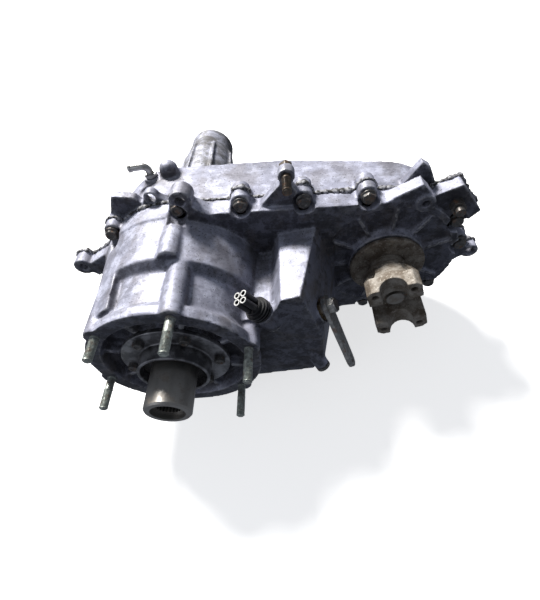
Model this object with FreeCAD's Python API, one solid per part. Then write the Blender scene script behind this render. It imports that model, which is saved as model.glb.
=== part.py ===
import FreeCAD, Part
import math
import os
from FreeCAD import Vector

# Chain-driven two-speed transfer case: two-piece aluminium housing, planetary
# low range, sliding mode collar, silent chain to a front output yoke.
# Millimetres.  Origin: centre of the adapter face on the main shaft axis.
# +X to the front output axis, +Y to the rear, +Z square to both.

# ---- shaft centres and chain ------------------------------------------------
chain_pitch = 12.7
sprocket_teeth = 30
chain_links = 70
chain_width = 30.0
chain_y = 141.0                 # front edge of the chain
chain_link_height = 7.5
shaft_centres = chain_pitch * (chain_links - sprocket_teeth) / 2
sprocket_pitch_r = chain_pitch / 2 / math.sin(math.pi / sprocket_teeth)
sprocket_tooth_depth = 4.2

# ---- planetary gear set -----------------------------------------------------
gear_module = 1.6
sun_teeth = 50
planet_teeth = 18
planet_count = 4
ring_teeth = sun_teeth + 2 * planet_teeth
gear_y = 31.0
gear_width = 23.0
annulus_wall = 10.0
orbit_r = gear_module * (sun_teeth + planet_teeth) / 2
planet_pin_r = 5.0
carrier_plate = 4.0
carrier_rim_r = orbit_r + 17.5

# ---- clearances -------------------------------------------------------------
running = 0.05                  # radial, shaft in bore
free = 0.3                      # between moving faces
spline_gap = 0.2                # between sliding spline flanks

# ---- splines ----------------------------------------------------------------
spline_teeth = 24
dog_teeth = 24

# ---- adapter face, studs and input side --------------------------------------
stud_circle_r = 90.5
stud_positions = 6
stud_first = 12.9               # angle of the first position from +X, degrees
stud_absent = 4                 # this position is a plain tapped hole
stud_r = 5.0
stud_out = 39.0
short_stud = 2                  # this one stands out less
short_stud_out = 27.0
stud_in = 22.0
stud_tip = 1.2                  # chamfer at the free end
stud_boss_r = 12.5
flange_r = 97.0
flange_thick = 12.0
recess_r = 79.0
recess_depth = 18.0
input_tube_r = 25.6
input_tube_out = 56.6
input_spline_r = 16.0
input_spline_end = 2.0
pilot_r = 12.0
bearing_in_r = 27.5
bearing_out_r = 45.0
bearing_y = 9.5
bearing_width = 16.0
retainer_r = 61.0
retainer_thick = 5.5
snout_r = 40.0
snout_wall = 3.5
snout_out = 15.0
retainer_bolt_circle_r = 51.0
retainer_bolt_r = 4.0

# ---- housings ----------------------------------------------------------------
seam_y = 152.0
main_wall_r = 108.0
front_wall_r = 87.0
wall = 7.0
band_y = 126.0                  # front edge of the chain housing band
drum_waist_r = 90.0
drum_waist_y = (20.0, 58.0)
drum_step_y = 67.0
drum_step_r = 102.5
rear_y = 229.0                  # extension housing joint
rear_low_y = 198.0              # depth behind the front output
rear_slope_x = (140.0, 345.0)
extension_flange_r = 60.0
extension_flange_thick = 9.0
tail_y = 455.0
tail_r = 38.0
hub_r = 46.0
hub_y = 119.5
case_bolt_r = 4.5
case_boss_r = 11.0
case_boss_depth = 15.0

# ---- shift mechanism -----------------------------------------------------------
rail_x = 100.0
rail_z = 0.0
rail_r = 8.0
sector_y = 50.0
sector_z = -7.0
sector_shaft_r = 8.0
sector_x = 132.5
sector_thick = 5.0
shaft_tilt = 25.0               # sector shaft's rise from +X towards +Z, degrees
side_wall_x = 167.0             # side wall at the front of the shift chamber
side_wall_rear_x = 190.0
chamber_y = 27.0
chamber_wall = 6.0
chamber_top_z = 36.0            # top of the chamber beside the drum
shaft_boss_x = 174.0
lever_x = 178.0
lever_length = 64.0
lever_angle = 225.0             # from +Y towards +Z, degrees
lever_thick = 5.0
lever_swing = 60.0              # full throw from high to low range, degrees
lever_hole_r = 4.2
range_travel = 20.0
mode_travel = 10.0

# ---- main shaft stations ---------------------------------------------------------
spline_r = 19.0
spline_depth = 2.0
range_hub_y = 45.0
range_dog_length = 8.0
range_dog_r = 28.8
dog_depth = 2.4
range_hub_body_r = 24.5
range_groove_y = 81.0
groove_width = 7.0
range_collar_r = 33.0
mode_hub_y = 116.0
mode_hub_width = 12.0
mode_hub_r = 36.0
mode_sleeve_wall = 7.0
sprocket_y = 131.0
sprocket_hub_r = 31.0
sprocket_end_y = 176.0
pump_y = 182.0
pump_width = 14.0
pump_r = 44.0
rotor_r = 27.0
rear_bearing_y = 211.0
rear_bearing_width = 18.0
rear_bearing_in_r = 17.5
rear_bearing_out_r = 36.0
tail_spline_r = 16.0
tail_spline_y = 385.0
tail_shaft_end = 440.0
slip_yoke_r = 22.5              # bore left for the slip yoke's barrel

# ---- front output ------------------------------------------------------------------
front_bearing_y = 124.0
front_bearing_width = 15.0
front_bearing_in_r = 18.0
front_bearing_out_r = 36.0
front_seal_r = 34.0
yoke_hub_r = 22.0
slinger_y = 112.0
slinger_r = 45.0
slinger_thick = 1.6
yoke_face_y = 45.0
yoke_base_y = 80.0
yoke_base_r = 31.0
cap_bolt_u = 20.25              # half spacing across one saddle
cap_bolt_w = 32.5               # half spacing between the two ears
cap_bolt_r = 3.5
cap_bolt_depth = 22.0           # of the thread, from the saddle's face to a spot face behind
cap_spot_r = 5.5
cap_r = 14.0
yoke_turn = 12.8                # of the saddles from +X towards +Z, degrees
yoke_bore_r = 13.0
rear_journal_r = 15.0
front_rear_bearing_y = 180.0
front_rear_bearing_width = 12.0
front_rear_bearing_out_r = 26.0

# ---- plugs, switch, vent ---------------------------------------------------------------
switch_base = (106.0, 31.0, 41.0)
switch_lean = (-0.45, -0.10, 0.887)
switch_thread_r = 7.0
switch_body_r = 12.0
switch_body_length = 13.0
switch_port_r = 3.6
switch_port_length = 24.0
detent_angle = -109.0           # about the sector shaft, from +Y towards +Z
detent_bore_r = 5.0
detent_land_r = 15.5
detent_face_r = 77.0            # outer face of the detent boss
vent_sink = 2.0                 # of the vent's seat below the top of the main bore's wall
vent_place = (-28.0, 216.0, main_wall_r - vent_sink)
dome_place = (-3.0, 216.0, main_wall_r + 3.0)
dome_r = 12.0
boss_root = 23.0                # that the vent's and dome's bosses reach below the wall's top
pickup_inset_x = 64.0           # of the oil screen inside the main bore's wall, across
pickup_inset_z = 36.0           # and downwards
vent_r = 5.5
fill_plug_place = (150.0, 30.0)
drain_plug_place = (205.0, -52.0)
case_plug_r = 12.0
retainer_bolt_angles = (0, 60, 120, 180, 240, 300)
extension_bolt_angles = (45, 135, 225, 315)
extension_bolt_circle_r = 60.0
extension_bolt_r = 4.5
rail_end_y = 202.0
speed_y = 262.0
speed_bore_r = 8.0
bushing_out_r = 26.0
seal_y = 444.0
seal_out_r = 31.0
fork_pin_y = 74.5
fork_pin_r = 3.0
sector_rim = 5.0                # metal left beside the cam slot


def detent_point(radius):
    """Point on the detent's axis at a radius from the sector shaft."""
    angle = math.radians(detent_angle)
    y = sector_y + radius * math.cos(angle)
    z = sector_z + radius * math.sin(angle)
    return sector_x, y, z


def tilted(shape):
    """Shift parts are laid out square to X, then tilted with the sector shaft."""
    return spin(shape, shaft_tilt, sector_x, sector_z)


def fork_pin_place():
    """Fork pin in the sector's square layout, in line with the rail's centre."""
    dx, dz = rail_x - sector_x, rail_z - sector_z
    c, s = math.cos(math.radians(shaft_tilt)), math.sin(math.radians(shaft_tilt))
    return sector_x + dx * c + dz * s, sector_z - dx * s + dz * c


def switch_seat(along):
    """Point on the port switch's axis, measured outwards from its seat."""
    return tuple(b + along * d for b, d in zip(switch_base, switch_lean))


AXIS_Y = Vector(0, 1, 0)
AXIS_X = Vector(1, 0, 0)
nodes = {}


# ---- helpers -------------------------------------------------------------------------
def polar(radius, degrees, x=0.0, z=0.0):
    """Point in the XZ plane at an angle from +X towards +Z."""
    angle = math.radians(degrees)
    return x + radius * math.cos(angle), z + radius * math.sin(angle)


def rod(radius, y0, y1, x=0.0, z=0.0):
    """Cylinder along Y."""
    return Part.makeCylinder(radius, y1 - y0, Vector(x, y0, z), AXIS_Y)


def cone(r0, r1, y0, y1, x=0.0, z=0.0):
    return Part.makeCone(r0, r1, y1 - y0, Vector(x, y0, z), AXIS_Y)


def tube(outer, inner, y0, y1, x=0.0, z=0.0):
    return rod(outer, y0, y1, x, z).cut(rod(inner, y0 - 1, y1 + 1, x, z))


def box(x0, x1, y0, y1, z0, z1):
    return Part.makeBox(x1 - x0, y1 - y0, z1 - z0, Vector(x0, y0, z0))


def rod_to(start, end, radius):
    """Cylinder between two points."""
    run = Vector(*end) - Vector(*start)
    return Part.makeCylinder(radius, run.Length, Vector(*start), run)


def prism(points, y0, y1):
    """Polygon of (x, z) corners extruded along Y."""
    corners = [Vector(x, y0, z) for x, z in points]
    face = Part.Face(Part.makePolygon(corners + corners[:1]))
    return face.extrude(Vector(0, y1 - y0, 0))


def slab(points, x0, x1):
    """Polygon of (y, z) corners extruded along X."""
    corners = [Vector(x0, y, z) for y, z in points]
    face = Part.Face(Part.makePolygon(corners + corners[:1]))
    return face.extrude(Vector(x1 - x0, 0, 0))


def turned(profile, x=0.0, z=0.0):
    """Closed (radius, y) profile revolved round an axis along Y."""
    corners = [Vector(x + r, y, z) for r, y in profile]
    face = Part.Face(Part.makePolygon(corners + corners[:1]))
    return face.revolve(Vector(x, 0, z), AXIS_Y, 360)


def spin(shape, degrees, x=0.0, z=0.0):
    """Copy turned round an axis along Y, positive from +X towards +Z."""
    copy = shape.copy()
    copy.rotate(Vector(x, 0, z), AXIS_Y, -degrees)
    return copy


def join(first, *rest):
    return first.fuse([s for s in rest])


def toothed(teeth, root, tip, root_half, tip_half, turn=0.0, x=0.0, z=0.0):
    """Corners of a straight-flanked toothed wheel, half widths in millimetres."""
    corners = []
    for i in range(teeth):
        middle = turn + 360.0 * i / teeth
        at_root = math.degrees(root_half / root)
        at_tip = math.degrees(tip_half / tip)
        corners.append(polar(root, middle - at_root, x, z))
        corners.append(polar(tip, middle - at_tip, x, z))
        corners.append(polar(tip, middle + at_tip, x, z))
        corners.append(polar(root, middle + at_root, x, z))
    return corners


def spline_corners(teeth, tip, depth, gap, turn=0.0):
    """Square-sided spline; a positive gap makes the female size."""
    tooth_half = math.pi * (tip - depth / 2) / teeth / 2 - 0.15
    root = tip - depth + gap
    return toothed(teeth, root, tip + gap, tooth_half + gap + 0.2, tooth_half + gap - 0.1, turn)


def keep(name, shape):
    nodes[name] = shape


def belt_face(r_main, r_front, y):
    """Outline of two circles on the shaft centres with their common tangents."""
    lean = math.acos((r_main - r_front) / shaft_centres)
    c, s = math.cos(lean), math.sin(lean)
    main_top = Vector(r_main * c, y, r_main * s)
    main_low = Vector(r_main * c, y, -r_main * s)
    front_top = Vector(shaft_centres + r_front * c, y, r_front * s)
    front_low = Vector(shaft_centres + r_front * c, y, -r_front * s)
    edges = [
        Part.Arc(main_top, Vector(-r_main, y, 0), main_low).toShape(),
        Part.LineSegment(main_low, front_low).toShape(),
        Part.Arc(front_low, Vector(shaft_centres + r_front, y, 0), front_top).toShape(),
        Part.LineSegment(front_top, main_top).toShape(),
    ]
    return Part.Face(Part.Wire(edges))


def belt(r_main, r_front, y0, y1):
    return belt_face(r_main, r_front, y0).extrude(Vector(0, y1 - y0, 0))


def hexagon(across_flats, y0, y1, x=0.0, z=0.0, turn=0.0):
    corner_r = across_flats / math.sqrt(3)
    return prism([polar(corner_r, turn + 60 * i, x, z) for i in range(6)], y0, y1)


def bolt(x, z, head_y, shank_end, shank_r, head_flats, head_height):
    """Flanged hex bolt, head towards -Y, seated at head_y."""
    head = hexagon(head_flats, head_y - head_height, head_y - 1.5, x, z)
    washer = rod(head_flats * 0.62, head_y - 1.5, head_y, x, z)
    return join(head, washer, rod(shank_r, head_y, shank_end, x, z))


def ball_bearing(inner, outer, y0, width, x=0.0, z=0.0):
    """Two rings with a recessed shield between them, as one solid."""
    body = tube(outer, inner, y0, y0 + width, x, z)
    third = (outer - inner) / 3
    for face_y in (y0 - 1, y0 + width - 1.2):
        body = body.cut(tube(outer - third * 0.8, inner + third * 0.8, face_y, face_y + 2.2, x, z))
    return body


# ---- case bolt places, shared by both halves ---------------------------------------
def outline_point(along, side, offset):
    """Point on one tangent side of the housing outline, moved outwards."""
    lean = math.acos((main_wall_r - front_wall_r) / shaft_centres)
    c, s = math.cos(lean), math.sin(lean)
    x = along + (main_wall_r + offset) * c
    z = (main_wall_r + offset) * s - along * (main_wall_r - front_wall_r) / shaft_centres
    return x, side * z


case_boss_offset = 3.0
case_bolt_places = [outline_point(a, 1, case_boss_offset) for a in (12, 82, 152, 222)]
case_bolt_places += [outline_point(a, -1, case_boss_offset) for a in (12, 82, 152, 222)]
case_bolt_places += [polar(main_wall_r + case_boss_offset, a) for a in (128, 172, 214, 250)]
case_bolt_places += [
    polar(front_wall_r + case_boss_offset, a, shaft_centres) for a in (29, 4, -44)
]


# ---- front case ---------------------------------------------------------------------
def seam_lug(tip, base_a, base_b, y0, y1, boss_r, hole_r):
    """Triangular ear in the XZ plane with a round end and an axial hole."""
    plate = prism([base_a, tip, base_b], y0, y1)
    ear = join(plate, rod(boss_r, y0, y1, *tip))
    return ear, rod(hole_r, y0 - 1, y1 + 1, *tip)


def chamber(inset, y0, y1):
    """Shift chamber beside the drum, flaring towards the rear."""
    def corners(y, reach):
        right = reach - inset
        return [
            Vector(40, y, chamber_top_z - inset),
            Vector(115, y, chamber_top_z - inset),
            Vector(128, y, 63 - inset),
            Vector(right - 18, y, 67 - inset),
            Vector(right, y, -5 - inset),
            Vector(right, y, -68 + inset),
            Vector(right - 16, y, -87 + inset),
            Vector(60, y, -95 + inset),
            Vector(40, y, -60 + inset),
        ]
    flare = (side_wall_rear_x - side_wall_x) / (band_y - chamber_y)
    wires = []
    for y in (y0, y1):
        ring = corners(y, side_wall_x + flare * (y - chamber_y))
        wires.append(Part.makePolygon(ring + ring[:1]))
    return Part.makeLoft(wires, True, True)


stud_angles = [stud_first + 360.0 * i / stud_positions for i in range(stud_positions)]
stud_points = [polar(stud_circle_r, a) for a in stud_angles]
tapped_stud_r = stud_r - 0.75
bearing_end_y = bearing_y + bearing_width
annulus_outer_r = gear_module * ring_teeth / 2 + annulus_wall
gear_end_y = gear_y + gear_width

# lugs on the long upper side and at the right end
stud_ear_tip = (146.0, 131.0)
stud_ear_y = (133.0, 147.0)
arrow_lug_tip = (31.0, 125.0)
arrow_lug_y = (124.0, 146.0)
end_lug_tip = (363.0, -16.0)
end_lug_y = (137.0, seam_y)
pad_centre = (327.0, 68.0)
pad_y = (133.0, seam_y)
arm_boss = (291.0, 80.0)
left_lug_tip = (-133.0, 40.0)
lug_hole_r = 5.5
ear_stud_r = 5.0
ear_stud_out = 26.0


def drum():
    low, high = drum_waist_y
    profile = [
        (0, 0),
        (flange_r, 0),
        (flange_r, flange_thick),
        (drum_waist_r, low),
        (drum_waist_r + 2.5, high),
        (drum_step_r, drum_step_y),
        (main_wall_r, seam_y),
        (0, seam_y),
    ]
    body = turned(profile)
    ridges = []
    for (x, z), angle in zip(stud_points, stud_angles):
        ridges.append(rod(stud_boss_r, 0, drum_step_y + 8, x, z))
    ridge_x, ridge_z = polar(main_wall_r - 9.0, 80)
    ridges.append(rod(stud_boss_r, drum_step_y, seam_y - 4, ridge_x, ridge_z))
    pad = turned([(80, 24), (drum_step_r - 4, 18), (drum_step_r, 70), (80, 70)])
    sector = prism([(0, 0), (-200, 10), (-200, 130), (-62, 130)], 0, 90)
    ridges.append(pad.common(sector))
    return join(body, *ridges)


def front_ribs():
    """Ribs that run out from the front output hub over the dished wall."""
    ribs = []
    for angle in (16, 52, 84, 116, 148, 180, 214, 250, 290, 330):
        rib = box(hub_r - 4, 79, band_y - 4.5, band_y + 6, -2.4, 2.4)
        slope = slab([(band_y - 5, -9), (band_y - 5, 9), (band_y + 1, 9)], 0, 1)
        rib = rib.cut(slope)
        ribs.append(spin(rib, angle).translated(Vector(shaft_centres, 0, 0)))
    return ribs


def build_front_case():
    band = belt(main_wall_r, front_wall_r, band_y, seam_y)
    bulge = chamber(0, chamber_y, band_y + 6)
    solid = join(drum(), band, bulge)

    # lugs
    stud_ear, stud_hole = seam_lug(stud_ear_tip, (96, 84), (171, 80), *stud_ear_y, 9.5, tapped_stud_r)
    arrow, arrow_hole = seam_lug(arrow_lug_tip, (-2, 92), (73, 90), *arrow_lug_y, 13.0, lug_hole_r)
    end_lug, end_hole = seam_lug(end_lug_tip, (322, 40), (308, -58), *end_lug_y, 10.5, lug_hole_r)
    left_lug, left_hole = seam_lug(left_lug_tip, (-86, 62), (-103, -6), 132, seam_y, 13.0, lug_hole_r)
    pad = prism([(296, 40), (304, 84), (330, 93), (357, 54), (326, 22)], *pad_y)
    pad_hole = rod(lug_hole_r, pad_y[0] - 1, pad_y[1] + 1, *pad_centre)
    arm = prism([(246, 76), (250, 88), (286, 103), (296, 92), (300, 70), (262, 68)], 128, 146)
    arm = join(arm, rod(11, 124, 146, *arm_boss))
    arm_hole = rod(4.2, 123, 140, *arm_boss)
    solid = join(solid, stud_ear, arrow, end_lug, left_lug, pad, arm)

    # bolt bosses round the seam
    bosses = [rod(case_boss_r, seam_y - case_boss_depth, seam_y, x, z) for x, z in case_bolt_places]
    solid = join(solid, *bosses)

    # shift shaft boss and the port switch boss
    inner_end, outer_end = (152, sector_y, sector_z), (shaft_boss_x, sector_y, sector_z)
    solid = join(solid, tilted(rod_to(inner_end, outer_end, sector_shaft_r + 8.5)))
    solid = join(solid, rod_to(switch_seat(-24), switch_seat(0), 14.0))
    solid = join(solid, rod(hub_r, hub_y, band_y + 8, shaft_centres))

    # dished wall round the front output hub
    dish = tube(front_wall_r - 9, hub_r + 1.5, band_y - 1, band_y + 3.5, shaft_centres)
    clear_of_drum = box(side_wall_rear_x + 1, 400, band_y - 2, band_y + 8, -200, 200)
    solid = solid.cut(dish.common(clear_of_drum))
    solid = join(solid, *[rib.common(clear_of_drum) for rib in front_ribs()])

    # inside: recess, bearing bore, annulus bore, gear room, chain room
    room_r = main_wall_r - wall - 5
    cavity = [
        turned([(0, -1), (recess_r + 1.5, -1), (recess_r, recess_depth), (0, recess_depth)]),
        rod(annulus_outer_r, bearing_end_y + 0.5, drum_step_y, 0, 0),
        turned([(0, drum_step_y - 7), (room_r - 6, drum_step_y), (room_r, seam_y + 1), (0, seam_y + 1)]),
        belt(main_wall_r - wall, front_wall_r - wall, band_y + 9, seam_y + 1),
        chamber(chamber_wall, chamber_y + chamber_wall, band_y + 10).cut(
            rod(annulus_outer_r + 4, 0, drum_step_y - 2)),
        rod(front_seal_r, hub_y - 1, front_bearing_y, shaft_centres),
        rod(front_bearing_out_r, front_bearing_y, seam_y, shaft_centres),
        *throw_relief(),
    ]
    front_web = rod(bearing_out_r + 14, bearing_y, bearing_end_y + 0.5)
    solid = solid.cut(cavity)
    hub_inside = rod(hub_r, hub_y, front_bearing_y + front_bearing_width - 1, shaft_centres)
    spokes = [
        spin(box(retainer_r + 1, recess_r + 4, 6, recess_depth + 1, -3.2, 3.2), a)
        for a in (22, 66, 112, 158, 202, 246, 292, 338)
    ]
    rail_boss = rod(rail_r + 6, chamber_y + 1, chamber_y + 15, rail_x, rail_z)
    detent_boss = tilted(rod_to(detent_point(40), detent_point(detent_face_r), detent_bore_r + 4.5))
    solid = join(solid, front_web, hub_inside, rail_boss, detent_boss, *spokes)
    solid = join(solid, tube(recess_r + 4, annulus_outer_r - 6, bearing_end_y - 3, bearing_end_y + 0.5))
    pockets = [
        spin(prism([(62, -11), (74, -14), (74, 14), (62, 11)], 9, recess_depth + 4), a)
        for a in (44, 89, 135, 180, 224, 269, 315)
    ]
    bores = [
        rod(bearing_out_r, bearing_y - 1, bearing_end_y + 1),
        rod(front_seal_r, hub_y - 1, front_bearing_y, shaft_centres),
        rod(front_bearing_out_r, front_bearing_y, seam_y, shaft_centres),
        tilted(rod_to((sector_x + 12, sector_y, sector_z), (200, sector_y, sector_z), sector_shaft_r + 5)),
        rod(rail_r, chamber_y + 4, chamber_y + 16, rail_x, rail_z),
        stud_hole, arrow_hole, end_hole, left_hole, pad_hole, arm_hole,
        rod_to(switch_seat(-60), switch_seat(1), switch_thread_r),
        tilted(rod_to(detent_point(detent_land_r), detent_point(90), detent_bore_r)),
        tilted(rod_to(detent_point(detent_face_r), detent_point(100), detent_bore_r + 5)),
    ]
    bores += [rod(tapped_stud_r, -1, stud_in, x, z) for x, z in stud_points]
    bores += [rod(case_bolt_r + 0.5, seam_y - 40, seam_y + 1, x, z) for x, z in case_bolt_places]
    bores += [rod(case_boss_r + 0.5, seam_y - 40, seam_y - case_boss_depth, x, z)
              for x, z in case_bolt_places]
    bores += [rod(retainer_bolt_r, bearing_y - 1, bearing_y + 14, *polar(retainer_bolt_circle_r, a))
              for a in retainer_bolt_angles]
    return solid.cut(bores + pockets)


# ---- rear case ----------------------------------------------------------------------
def rear_wedge(inset):
    """Everything behind the sloping rear wall."""
    (x0, x1), low = rear_slope_x, rear_low_y
    points = [
        Vector(x0, rear_y - inset, -200),
        Vector(x1, low - inset, -200),
        Vector(x1 + 60, low - inset, -200),
        Vector(x1 + 60, rear_y + 40, -200),
        Vector(x0, rear_y + 40, -200),
    ]
    return Part.Face(Part.makePolygon(points + points[:1])).extrude(Vector(0, 0, 400))


def rear_shell(inset, y0, y1):
    """Drafted belt outline, as two cones and the tangent web between them."""
    draft = 3.0
    front = belt_face(main_wall_r - inset, front_wall_r - inset, y0).OuterWire
    back = belt_face(main_wall_r - inset - draft, front_wall_r - inset - draft, y1).OuterWire
    return Part.makeLoft([front, back], True, True)


def build_rear_case():
    shell = rear_shell(0, seam_y, rear_y).cut(rear_wedge(0))
    bosses = [rod(case_boss_r, seam_y, seam_y + case_boss_depth, x, z) for x, z in case_bolt_places]
    neck = cone(extension_flange_r + 22, extension_flange_r + 3, rear_y - 16, rear_y)
    neck = join(neck, *[rod(10, rear_y - 18, rear_y, *polar(extension_bolt_circle_r, a))
                        for a in extension_bolt_angles])
    ribs = [spin(box(50, 100, rear_y - 14, rear_y - 2, -3, 3), a) for a in (100, 140, 180, 220, 260)]
    rear_ear = prism([(256, 66), (290, 112), (300, 104), (318, 60)], 154, 166)
    rear_arm = prism([(-92, 60), (-60, 122), (-34, 116), (-22, 96), (-70, 70)], 158, 170)
    lug = prism([(-38, 94), (-16, 121), (-8, 118), (16, 98)], 154, 166)
    lug = join(lug, rod(9, 154, 166, -13, 114))
    vent_x, vent_y, vent_z = vent_place
    boss_z = main_wall_r - boss_root
    vent_boss = rod_to((vent_x, vent_y, boss_z), vent_place, 11.0)
    dome = rod_to((*dome_place[:2], boss_z), dome_place, dome_r)
    dome = join(dome, Part.makeSphere(dome_r, Vector(*dome_place)))
    socket = rod(front_rear_bearing_out_r + 6, front_rear_bearing_y, rear_low_y + 4, shaft_centres)
    solid = join(shell, neck, rear_ear, rear_arm, lug, vent_boss, dome, *(bosses + ribs))
    room = rear_shell(wall, seam_y - 1, rear_y - wall).cut(rear_wedge(wall))
    solid = solid.cut(room)
    bearing_boss = rod(rear_bearing_out_r + 7, rear_bearing_y, rear_y)
    stays = [spin(box(rear_bearing_out_r + 4, 99, rear_y - 16, rear_y - 5, -2.5, 2.5), a)
             for a in (60, 120, 180, 240, 300)]
    rail_boss = rod(rail_r + 6, rail_end_y - 14, rear_y - 4, rail_x, rail_z)
    solid = join(solid, bearing_boss, socket.cut(rear_wedge(0)), rail_boss, *stays)
    plug_pads = [
        rod(case_plug_r + 5, rear_face_at(x) - 8, rear_face_at(x) + 4, x, z)
        for x, z in (fill_plug_place, drain_plug_place)
    ]
    solid = join(solid, *plug_pads)
    bores = [
        rod(rear_bearing_out_r, rear_bearing_y - 1, rear_y + 1),
        rod(front_rear_bearing_out_r, front_rear_bearing_y - 1,
            front_rear_bearing_y + front_rear_bearing_width, shaft_centres),
        rod(rail_r, rail_end_y - 15, rail_end_y, rail_x, rail_z),
        rod_to((vent_x, vent_y, main_wall_r - 38), (vent_x, vent_y, vent_z + 1), vent_r),
        rod(lug_hole_r, 150, 170, -13, 114),
    ]
    bores += [rod(case_bolt_r - 0.5, seam_y - 1, seam_y + 13, x, z) for x, z in case_bolt_places]
    bores += [rod(case_plug_r, rear_face_at(x) - 20, rear_face_at(x) + 5, x, z)
              for x, z in (fill_plug_place, drain_plug_place)]
    bores += [rod(extension_bolt_r - 0.5, rear_y - 16, rear_y + 1, *polar(extension_bolt_circle_r, a))
              for a in extension_bolt_angles]
    return solid.cut(bores)


def rear_face_at(x):
    """Y of the rear wall's outer face at a given X."""
    (x0, x1) = rear_slope_x
    fall = (rear_y - rear_low_y) * (x - x0) / (x1 - x0)
    return rear_y - max(0.0, fall)


# ---- extension housing ----------------------------------------------------------------
def build_extension():
    end_flange = rear_y + extension_flange_thick
    outer = turned([
        (0, rear_y), (extension_flange_r, rear_y), (extension_flange_r, end_flange), (49, end_flange),
        (48, end_flange + 8), (46, 300), (43, 395), (tail_r, 430), (tail_r, tail_y), (0, tail_y),
    ])
    ribs = []
    for angle in (20, 65, 110, 155, 200, 245, 290, 335):
        rib = slab([(end_flange - 2, 44), (end_flange - 2, 57), (300, 52), (400, 46), (425, 36), (300, 36)],
                   -2.4, 2.4)
        ribs.append(spin(rib, angle))
    ears = [rod(9.5, rear_y, end_flange, *polar(extension_bolt_circle_r, a)) for a in extension_bolt_angles]
    speed_boss = rod_to((0, speed_y, 0), (polar(58, 150)[0], speed_y, polar(58, 150)[1]), 13.0)
    solid = join(outer, speed_boss, *(ribs + ears))
    inner = turned([
        (0, rear_y - 1), (rear_bearing_out_r + 3, rear_y - 1), (rear_bearing_out_r + 3, 270), (38, 300),
        (34, 390), (bushing_out_r, 400), (bushing_out_r, seal_y), (seal_out_r, seal_y),
        (seal_out_r, tail_y + 1), (0, tail_y + 1),
    ])
    cuts = [inner, rod_to((0, speed_y, 0), (polar(70, 150)[0], speed_y, polar(70, 150)[1]), speed_bore_r)]
    cuts += [rod(extension_bolt_r + 0.5, rear_y - 1, end_flange + 1, *polar(extension_bolt_circle_r, a))
             for a in extension_bolt_angles]
    return solid.cut(cuts)


# ---- planetary ---------------------------------------------------------------------------
tooth_high = 0.85 * gear_module
tooth_low = 1.15 * gear_module
tooth_half_pitch = 0.42 * math.pi * gear_module / 2
flank_lean = math.tan(math.radians(22))


def gear_corners(teeth, turn=0.0, x=0.0, z=0.0):
    pitch_r = gear_module * teeth / 2
    return toothed(teeth, pitch_r - tooth_low, pitch_r + tooth_high,
                   tooth_half_pitch + tooth_low * flank_lean,
                   tooth_half_pitch - tooth_high * flank_lean, turn, x, z)


def ring_corners(teeth, turn=0.0):
    """Inside of the annulus: the space between teeth reaches outwards."""
    pitch_r = gear_module * teeth / 2
    space_half = math.pi * gear_module / 2 - tooth_half_pitch
    return toothed(teeth, pitch_r - tooth_high, pitch_r + tooth_low,
                   space_half + tooth_high * flank_lean,
                   space_half - tooth_low * flank_lean, turn)


planet_angles = [45.0 + 360.0 * i / planet_count for i in range(planet_count)]


def planet_turn(angle):
    """Turn of a planet about its own axis that meshes with the sun at an angle.

    The sun has a tooth centred at 0 degrees.
    """
    sun_pitch = 360.0 / sun_teeth
    lead = (angle % sun_pitch) / sun_pitch
    own_pitch = 360.0 / planet_teeth
    return angle + 180.0 + own_pitch * (0.5 + lead)


def ring_turn():
    """Turn of the annulus spaces so that they receive the first planet's teeth."""
    angle = planet_angles[0]
    own_pitch = 360.0 / planet_teeth
    ring_pitch = 360.0 / ring_teeth
    lead = ((planet_turn(angle) - angle) % own_pitch) / own_pitch
    return angle + ring_pitch * lead


def build_planetary():
    annulus = rod(annulus_outer_r, gear_y, gear_end_y)
    annulus = annulus.cut(prism(ring_corners(ring_teeth, ring_turn()), gear_y - 1, gear_end_y + 1))
    keep("annulus_gear", annulus)

    plate_gap = 0.6
    front_y = gear_y - plate_gap - carrier_plate
    rear_plate_y = gear_end_y + plate_gap
    shoulder_r = bearing_in_r + 5.5
    front_plate = tube(carrier_rim_r, shoulder_r, front_y, front_y + carrier_plate)
    rear_plate = tube(carrier_rim_r, range_dog_r + 1.0, rear_plate_y, rear_plate_y + carrier_plate + 2)
    lock_ring = tube(range_dog_r + 8, range_dog_r + 1.0, rear_plate_y, rear_plate_y + 18)
    posts = []
    for angle in planet_angles:
        px, pz = polar(orbit_r, angle + 180.0 / planet_count)
        posts.append(rod(9.0, front_y + 1, rear_plate_y + 1, px, pz))
        posts.append(rod(planet_pin_r, front_y, rear_plate_y + carrier_plate + 2.6,
                         *polar(orbit_r, angle)))
    keep("planet_carrier", join(front_plate, rear_plate, lock_ring, *posts))

    for i, angle in enumerate(planet_angles):
        x, z = polar(orbit_r, angle)
        planet = prism(gear_corners(planet_teeth, planet_turn(angle), x, z), gear_y, gear_end_y)
        keep("planet_gear_%d" % (i + 1), planet.cut(rod(planet_pin_r + running, 0, 100, x, z)))


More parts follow.
